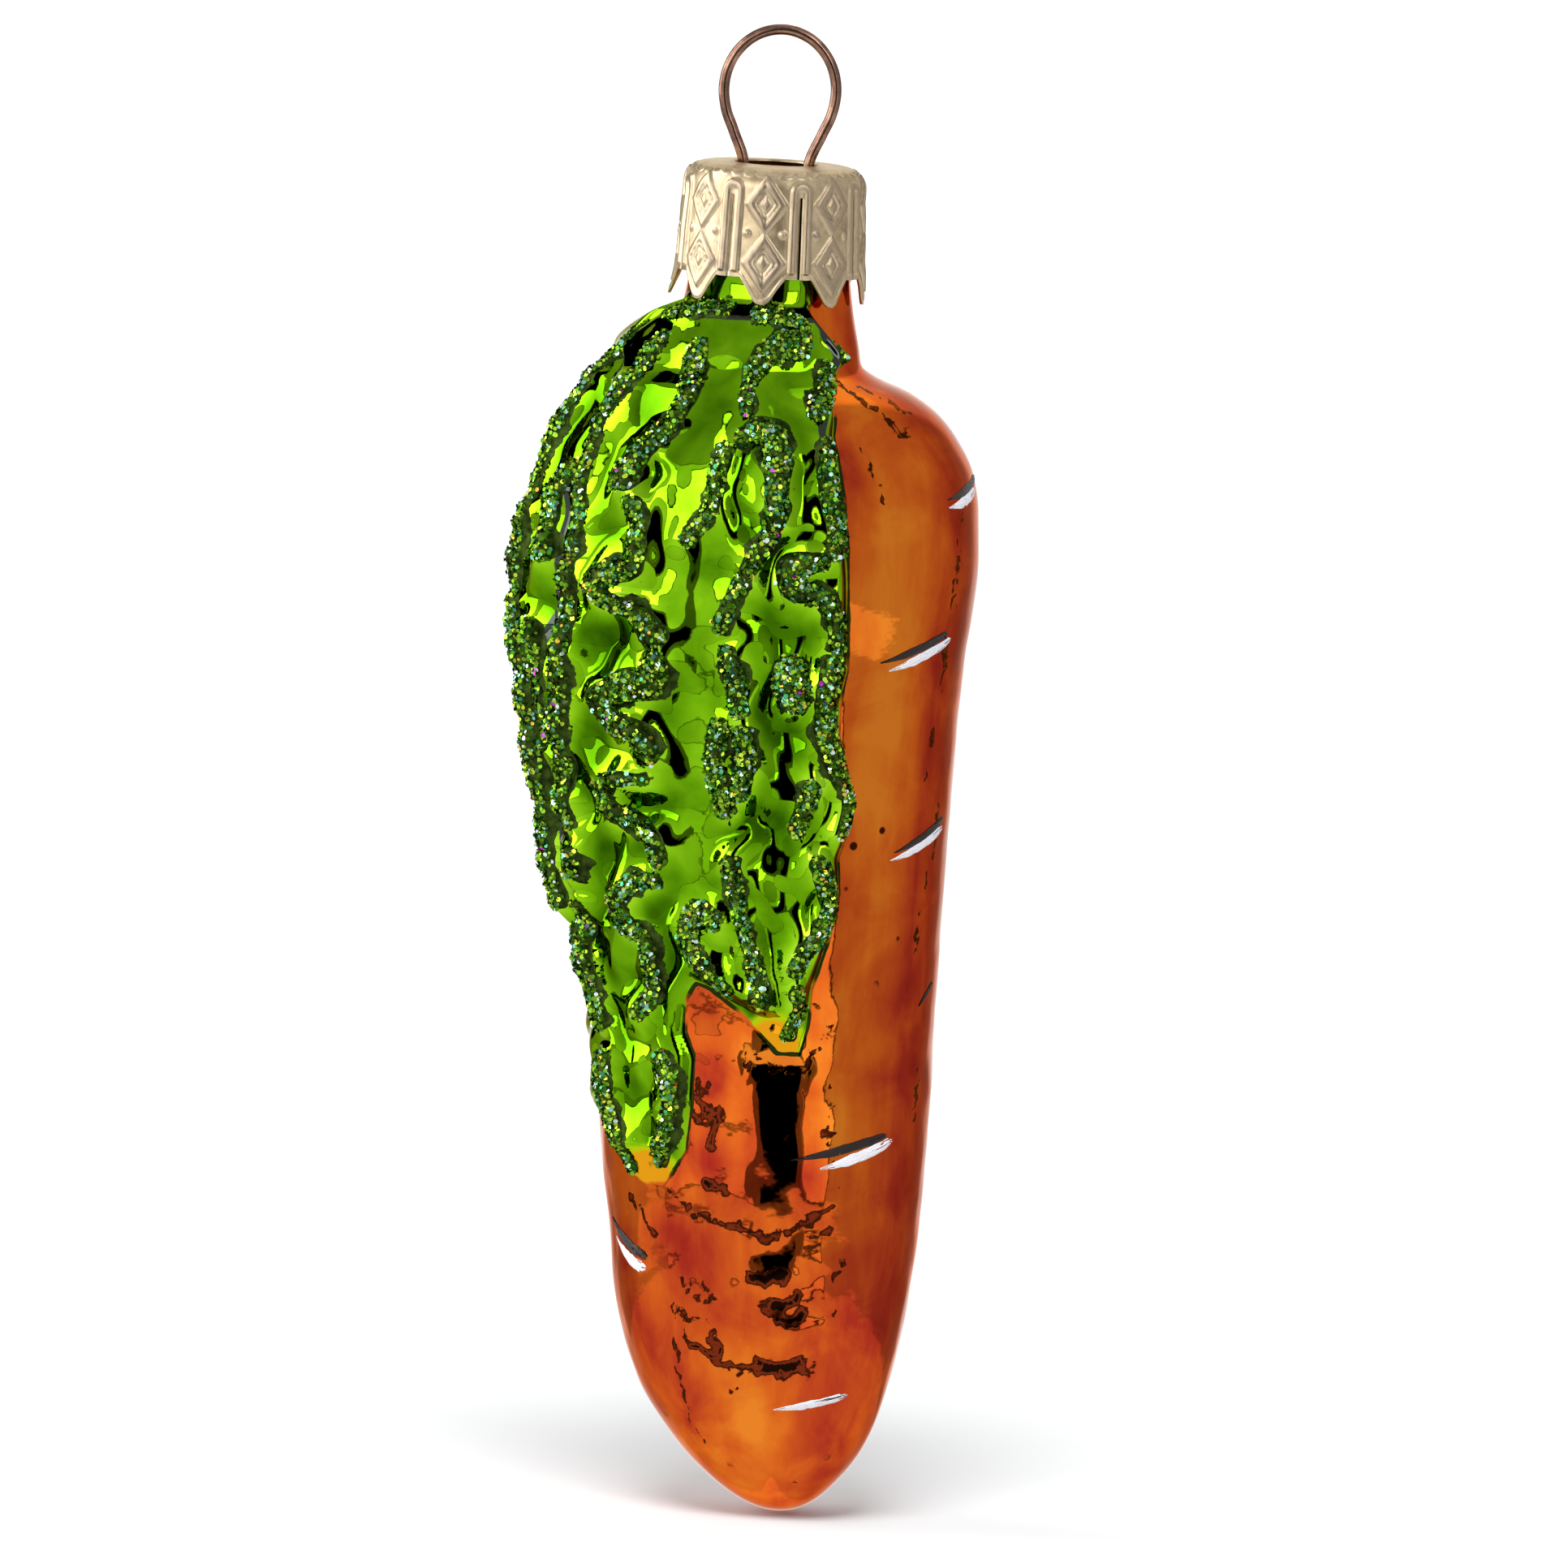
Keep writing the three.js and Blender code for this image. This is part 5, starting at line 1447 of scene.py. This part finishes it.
def centripetal(points, samples):
    """Centripetal Catmull-Rom through points, evenly sampled in each span."""
    points = np.asarray(points, float)
    knots = np.vstack([2 * points[0] - points[1], points, 2 * points[-1] - points[-2]])
    parts = []
    for p0, p1, p2, p3 in zip(knots[:-3], knots[1:-2], knots[2:-1], knots[3:]):
        d0, d1, d2 = (max(1e-4, np.linalg.norm(b - a)) ** 0.5 for a, b in ((p0, p1), (p1, p2), (p2, p3)))
        t1 = ((p1 - p0) / d0 - (p2 - p0) / (d0 + d1) + (p2 - p1) / d1) * d1
        t2 = ((p2 - p1) / d1 - (p3 - p1) / (d1 + d2) + (p3 - p2) / d2) * d1
        t = np.linspace(0, 1, samples, endpoint=False)[:, None]
        parts.append(
            p1 + t1 * t + (3 * (p2 - p1) - 2 * t1 - t2) * t ** 2 + (2 * (p1 - p2) + t1 + t2) * t ** 3)
    return np.vstack(parts + [points[-1:]])


def hanger_path():
    """Points of the wire's middle line in the XZ plane, evenly spaced, and their distance along it."""
    spread = BORE_R - WIRE_R - GAP
    leg = [
        (spread - 0.4 * WIRE_R, CAP_TOP_Z - LEG_DEPTH), (spread, CAP_TOP_Z - 0.75 * LEG_DEPTH),
        (0.75 * spread, CAP_TOP_Z - 0.4 * LEG_DEPTH), (LEG_HALF_SPACING, CAP_TOP_Z - 0.5 * SHEET),
        (0.5 * (LEG_HALF_SPACING + LOOP_HALF_WIDTH), CAP_TOP_Z + 0.42 * LOOP_TO_CAP),
        (0.94 * LOOP_HALF_WIDTH, CAP_TOP_Z + 0.7 * LOOP_TO_CAP),
    ]
    loop = [
        (LOOP_HALF_WIDTH * math.cos(deg * DEG), LOOP_CENTRE_Z + LOOP_HALF_HEIGHT * math.sin(deg * DEG))
        for deg in range(0, 181, 20)
    ]
    path = centripetal(leg + loop + [(-x, z) for x, z in reversed(leg)], 24)
    at = np.concatenate([[0], np.cumsum(np.hypot(*np.diff(path, axis=0).T))])
    even = np.linspace(0, at[-1], WIRE_STATIONS)
    x, z = (np.interp(even, at, column) for column in path.T)
    return x, z, even


def hanger_wire(material):
    """Round wire with slight dents, from a ring of points at each station."""
    x, z, even = hanger_path()
    tx, tz = np.gradient(x), np.gradient(z)
    length = np.hypot(tx, tz)
    tx, tz = tx / length, tz / length
    turn = np.arange(WIRE_SECTION_SIDES) * 2 * math.pi / WIRE_SECTION_SIDES
    even_grid, turn_grid = np.meshgrid(even, turn, indexing="ij")
    dents = 0.008 * noise2(even_grid / 1.3, 1.5 * np.cos(turn_grid) + 3, 61)
    dents += 0.003 * noise2(even_grid / 0.5, 2 * np.sin(turn_grid) + 5, 62)
    near_end = np.minimum(even, even[-1] - even)
    rounding = np.sqrt(np.clip(near_end / 0.15, 0.04, 1))
    radius = (WIRE_R + dents) * rounding[:, None]
    points = np.stack([
        x[:, None] - tz[:, None] * radius * np.cos(turn_grid),
        radius * np.sin(turn_grid),
        z[:, None] + tx[:, None] * radius * np.cos(turn_grid),
    ], axis=-1)
    faces = grid_faces(WIRE_STATIONS, WIRE_SECTION_SIDES, True)
    faces.append(tuple(range(WIRE_SECTION_SIDES))[::-1])
    last = (WIRE_STATIONS - 1) * WIRE_SECTION_SIDES
    faces.append(tuple(last + k for k in range(WIRE_SECTION_SIDES)))
    piece = mesh_object("bent_hanger_wire", points, faces, material, "hanger")
    tidy_normals(piece)
    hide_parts("hanger_wire")


# Painted dashes

# End of the name, start and end as (degrees round, height in mm), width and bow in mm. Those past 6 are on
# the side and the back.
WHITE_DASHES = [
    ("1", (61, -33.7), (82, -32.6), 0.8, -0.15),
    ("2", (40, -45.7), (66, -43.5), 0.75, -0.1),
    ("3", (45, -59.9), (73, -57.7), 0.7, -0.1),
    ("4", (21, -82.9), (53, -80.8), 0.85, -0.15),
    ("5", (-73, -89.6), (-52, -91.5), 0.95, -0.45),
    ("6", (5, -101.3), (45, -100.1), 0.6, -0.1),
    ("7", (128, -52.0), (150, -50.8), 0.75, -0.12),
    ("8", (176, -74.0), (199, -72.6), 0.75, -0.12),
    ("9", (112, -92.6), (138, -91.4), 0.65, -0.1),
    ("10", (158, -37.8), (176, -36.6), 0.7, -0.1),
]
BLACK_DASHES = [
    ("1", (61, -33.1), (87, -31.8), 0.65, -0.1),
    ("2", (37, -45.1), (64, -43.0), 0.65, -0.1),
    ("3", (47, -59.3), (73, -57.0), 0.6, -0.1),
    ("4", (10, -82.3), (50, -80.4), 0.7, -0.1),
    ("5", (-77, -88.3), (-51, -90.6), 0.85, -0.3),
    ("6", (26, -100.6), (43, -100.1), 0.25, -0.05),
    ("side", (65, -71.0), (75, -69.4), 0.45, 0.05),
    ("7", (127, -51.3), (149, -50.1), 0.6, -0.1),
    ("8", (175, -73.3), (198, -71.9), 0.6, -0.1),
    ("9", (111, -92.0), (137, -90.7), 0.6, -0.1),
    ("10", (157, -37.1), (175, -35.9), 0.6, -0.1),
]
# How far the paint stands off the glass and how thick it is, mm, and the points along and across a dash
PAINT_LIFT = 0.03
PAINT_THICKNESS = 0.05
DASH_ROWS = 90
DASH_COLUMNS = 17


def open_sheet_faces(kept, offset):
    """Faces of a double sheet over the kept cells of a grid, with walls round them."""
    rows, columns = kept.shape
    faces = []
    for j, i in zip(*np.nonzero(kept)):
        a = j * (columns + 1) + i
        quad = (a, a + 1, a + columns + 2, a + columns + 1)
        faces.append(quad)
        faces.append(tuple(k + offset for k in quad[::-1]))
        for side, (dj, di) in enumerate([(-1, 0), (0, 1), (1, 0), (0, -1)]):
            jj, ii = j + dj, i + di
            if not (0 <= jj < rows and 0 <= ii < columns and kept[jj, ii]):
                first, second = quad[side], quad[(side + 1) % 4]
                faces.append((second, first, first + offset, second + offset))
    return faces


def brush_dash(number, name, start, end, width, bow, material, slot):
    """One stroke of a small brush: thin in the middle of its bristle marks, open where they ran dry."""
    t, s = np.meshgrid(np.linspace(0, 1, DASH_ROWS), np.linspace(-1, 1, DASH_COLUMNS), indexing="ij")
    shape = np.clip(1 - np.abs(2 * t - 1) ** 6, 0, 1) ** 0.5 * (0.3 + 0.7 * smooth(0, 0.45, t))
    ragged = 1 + 0.15 * noise2(t * 9 + number, s * 2.2, 71)
    deg = start[0] + (end[0] - start[0]) * (t + 0.015 * noise2(s * 4 + number, t * 2, 72))
    z = start[1] + (end[1] - start[1]) * t + bow * 4 * t * (1 - t) + s * 0.5 * width * shape * ragged
    bristles = noise2(s * 5.5 + 3.3 * number, t * 3.2, 73)
    dry = smooth(0.72, 1.0, t) * 0.6 + smooth(0.2, 0.0, t) * 0.55
    thick = PAINT_THICKNESS * np.clip(0.8 + 0.5 * bristles, 0.25, 1.3)
    thick *= np.sqrt(np.clip(1 - s ** 2, 0.02, 1))
    glass = glass_radius(deg, z)
    top = on_axis(deg, z, glass + PAINT_LIFT + thick)
    under = on_axis(deg, z, glass + 0.2 * PAINT_LIFT)
    wet = (bristles - dry > -0.72) & (shape > 0.05)
    kept = wet[:-1, :-1] & wet[1:, 1:] & wet[1:, :-1] & wet[:-1, 1:]
    faces = open_sheet_faces(kept, DASH_ROWS * DASH_COLUMNS)
    piece = mesh_object(name, np.concatenate([top, under]), faces, material, "glass")
    tidy_normals(piece)


def painted_dashes():
    white = brushed_paint("white_paint", (0.62, 0.61, 0.65), (0.42, 0.37, 0.4), 0.4)
    black = brushed_paint("black_paint", (0.01, 0.005, 0.004), (0.05, 0.01, 0.005), 0.3)
    for number, (name, *stroke) in enumerate(WHITE_DASHES):
        brush_dash(number, "dash_white_" + name, *stroke, white, "white_paint")
    for number, (name, *stroke) in enumerate(BLACK_DASHES, start=40):
        brush_dash(number, "dash_black_" + name, *stroke, black, "black_paint")


# Camera

# The photo's width and scale, the place in mm at its centre, the camera's height and roll in degrees, and
# its distance in metres
PHOTO_PIXELS = 1932
PHOTO_MM_PER_PIXEL = 0.06
PHOTO_CENTRE_RIGHT = 0.06
PHOTO_CENTRE_UP = -55.38
PHOTO_ELEVATION = 6
PHOTO_ROLL = 3.2
CAMERA_DISTANCE = 1.5


def make_camera():
    """The photo's own view, with its size, height and roll."""
    elevation = PHOTO_ELEVATION * DEG
    roll = PHOTO_ROLL * DEG
    right = Vector((math.cos(roll), 0, math.sin(roll)))
    level_up = Vector((-math.sin(roll), 0, math.cos(roll)))
    forward = math.cos(elevation) * Vector((0, 1, 0)) - math.sin(elevation) * level_up
    up = math.sin(elevation) * Vector((0, 1, 0)) + math.cos(elevation) * level_up
    target = (PHOTO_CENTRE_RIGHT * right + PHOTO_CENTRE_UP * up) * MM
    data = bpy.data.cameras.new("photo_camera")
    data.sensor_fit = "HORIZONTAL"
    data.sensor_width = 36
    data.lens = data.sensor_width * CAMERA_DISTANCE / (PHOTO_PIXELS * PHOTO_MM_PER_PIXEL * MM)
    data.clip_start = 0.05
    data.clip_end = 50
    camera = bpy.data.objects.new("photo_camera", data)
    bpy.context.scene.collection.objects.link(camera)
    rotation = Matrix((right, up, -forward)).transposed().to_4x4()
    camera.matrix_world = Matrix.Translation(target - forward * CAMERA_DISTANCE) @ rotation
    bpy.context.scene.camera = camera


# Studio

# Panels of the studio as seen from the object: left and right, low and high, in degrees from the front and
# the horizon, then the level, and the softness of the edge in degrees. Below the lamps lies the table. Dark
# rims round the panels give the thin contour lines of the reflections, and the camera stands in the dark
# strip between the two front panels.
STUDIO_LEVEL = 0.62
TABLE_TOP = -17.5
PANEL_TOP = 38
RIM_LEVEL = 0.02


def rimmed(left, right, low, high, level, rim, soft=0.5):
    """A panel with a dark rim round it."""
    return [
        (left - rim, right + rim, low - rim, high + rim, RIM_LEVEL, soft),
        (left, right, low, high, level, soft),
    ]


STUDIO_PANELS = [
    (-180, 180, -91, TABLE_TOP, 0.98, 0.6),
    (152, 186, -91, 91, 1.25, 5),
    (-186, -152, -91, 91, 1.25, 5),
    (-146, -118, -9, 56, 0.0, 1),
    *rimmed(-77, -7, TABLE_TOP, PANEL_TOP, 1.17, 0.5),
    (-7.5, 26.5, TABLE_TOP - 1.2, PANEL_TOP + 2, 0.2, 0.6),
    (-2, 21, -11, PANEL_TOP + 2, 0.0, 1.2),
    (0.5, 18.5, TABLE_TOP + 0.5, -9, 0.0, 0.8),
    *rimmed(28, 44, TABLE_TOP, PANEL_TOP, 1.2, 0.9),
    *rimmed(-118, -77, -10, 46, 4.4, 1.2),
    *rimmed(26.5, 41, 9, 48, 4.2, 1.2),
    *rimmed(-55, -24, 4, 32, 4.0, 1.2),
]


def make_world():
    """Panels of the studio for the reflections, and plain white for the camera."""
    world = bpy.data.worlds.new("studio")
    bpy.context.scene.world = world
    n = Nodes(world)
    direction = n.add("ShaderNodeTexCoord").outputs["Generated"]
    split = n.add("ShaderNodeSeparateXYZ")
    n.put(direction, split.inputs[0])
    azimuth = n.math("DEGREES", n.math("ARCTAN2", split.outputs[0], n.times(split.outputs[1], -1.0)))
    elevation = n.math("DEGREES", n.math("ARCSINE", split.outputs[2]))
    level = STUDIO_LEVEL
    for left, right, low, high, value, s in STUDIO_PANELS:
        inside = n.times(n.step(azimuth, left - s, left + s), n.step(azimuth, right + s, right - s))
        inside = n.times(inside, n.step(elevation, low - s, low + s))
        inside = n.times(inside, n.step(elevation, high + s, high - s))
        mixed = n.add("ShaderNodeMix", data_type="FLOAT")
        n.put(inside, mixed.inputs[0])
        n.put(level, mixed.inputs[2])
        n.put(value, mixed.inputs[3])
        level = mixed.outputs[0]
    path = n.add("ShaderNodeLightPath")
    studio = n.add("ShaderNodeBackground")
    n.put(level, studio.inputs["Strength"])
    white = n.add("ShaderNodeBackground")
    white.inputs["Strength"].default_value = 1.0
    white.inputs["Color"].default_value = (1, 1, 1, 1)
    studio.inputs["Color"].default_value = (1, 1, 1, 1)
    mix = n.add("ShaderNodeMixShader")
    n.put(path.outputs["Is Camera Ray"], mix.inputs[0])
    n.tree.links.new(studio.outputs[0], mix.inputs[1])
    n.tree.links.new(white.outputs[0], mix.inputs[2])
    out = n.add("ShaderNodeOutputWorld")
    n.tree.links.new(mix.outputs[0], out.inputs[0])


# The table: its colour, half its size and its place below the tip, mm, and the lamp above it
FLOOR_COLOUR = (0.61, 0.625, 0.63, 1)
FLOOR_HALF = 6000
FLOOR_BELOW_TIP = 0.25
LAMP_STRENGTH = 3.0
LAMP_ANGLE_DEG = 27
LAMP_TILT_DEG = 33
LAMP_TURN_DEG = -7


def make_floor():
    """A pale table just below the tip, which takes the shadow."""
    material = bpy.data.materials.new("studio_floor")
    n = Nodes(material)
    diffuse = n.add("ShaderNodeBsdfDiffuse")
    diffuse.inputs["Color"].default_value = FLOOR_COLOUR
    out = n.add("ShaderNodeOutputMaterial")
    n.tree.links.new(diffuse.outputs[0], out.inputs[0])
    half = FLOOR_HALF
    z = TIP_Z - FLOOR_BELOW_TIP
    corners = [(-half, -half, z), (half, -half, z), (half, half, z), (-half, half, z)]
    floor = mesh_object("studio_floor", corners, [(0, 1, 2, 3)], material, smooth_shading=False)
    floor.visible_glossy = False


def make_lamp():
    """A wide lamp above the front, which lays the soft shadow behind the tip."""
    data = bpy.data.lights.new("top_lamp", "SUN")
    data.energy = LAMP_STRENGTH
    data.angle = LAMP_ANGLE_DEG * DEG
    lamp = bpy.data.objects.new("top_lamp", data)
    bpy.context.scene.collection.objects.link(lamp)
    lamp.rotation_euler = (LAMP_TILT_DEG * DEG, 0, LAMP_TURN_DEG * DEG)
    lamp.visible_glossy = False


make_camera()
make_world()
make_floor()
make_lamp()
bpy.context.scene.view_settings.view_transform = "Standard"

glass_shell(lacquered_glass())
glitter()
stamped_cap(cap_metal())
hanger_wire(wire_metal())
painted_dashes()
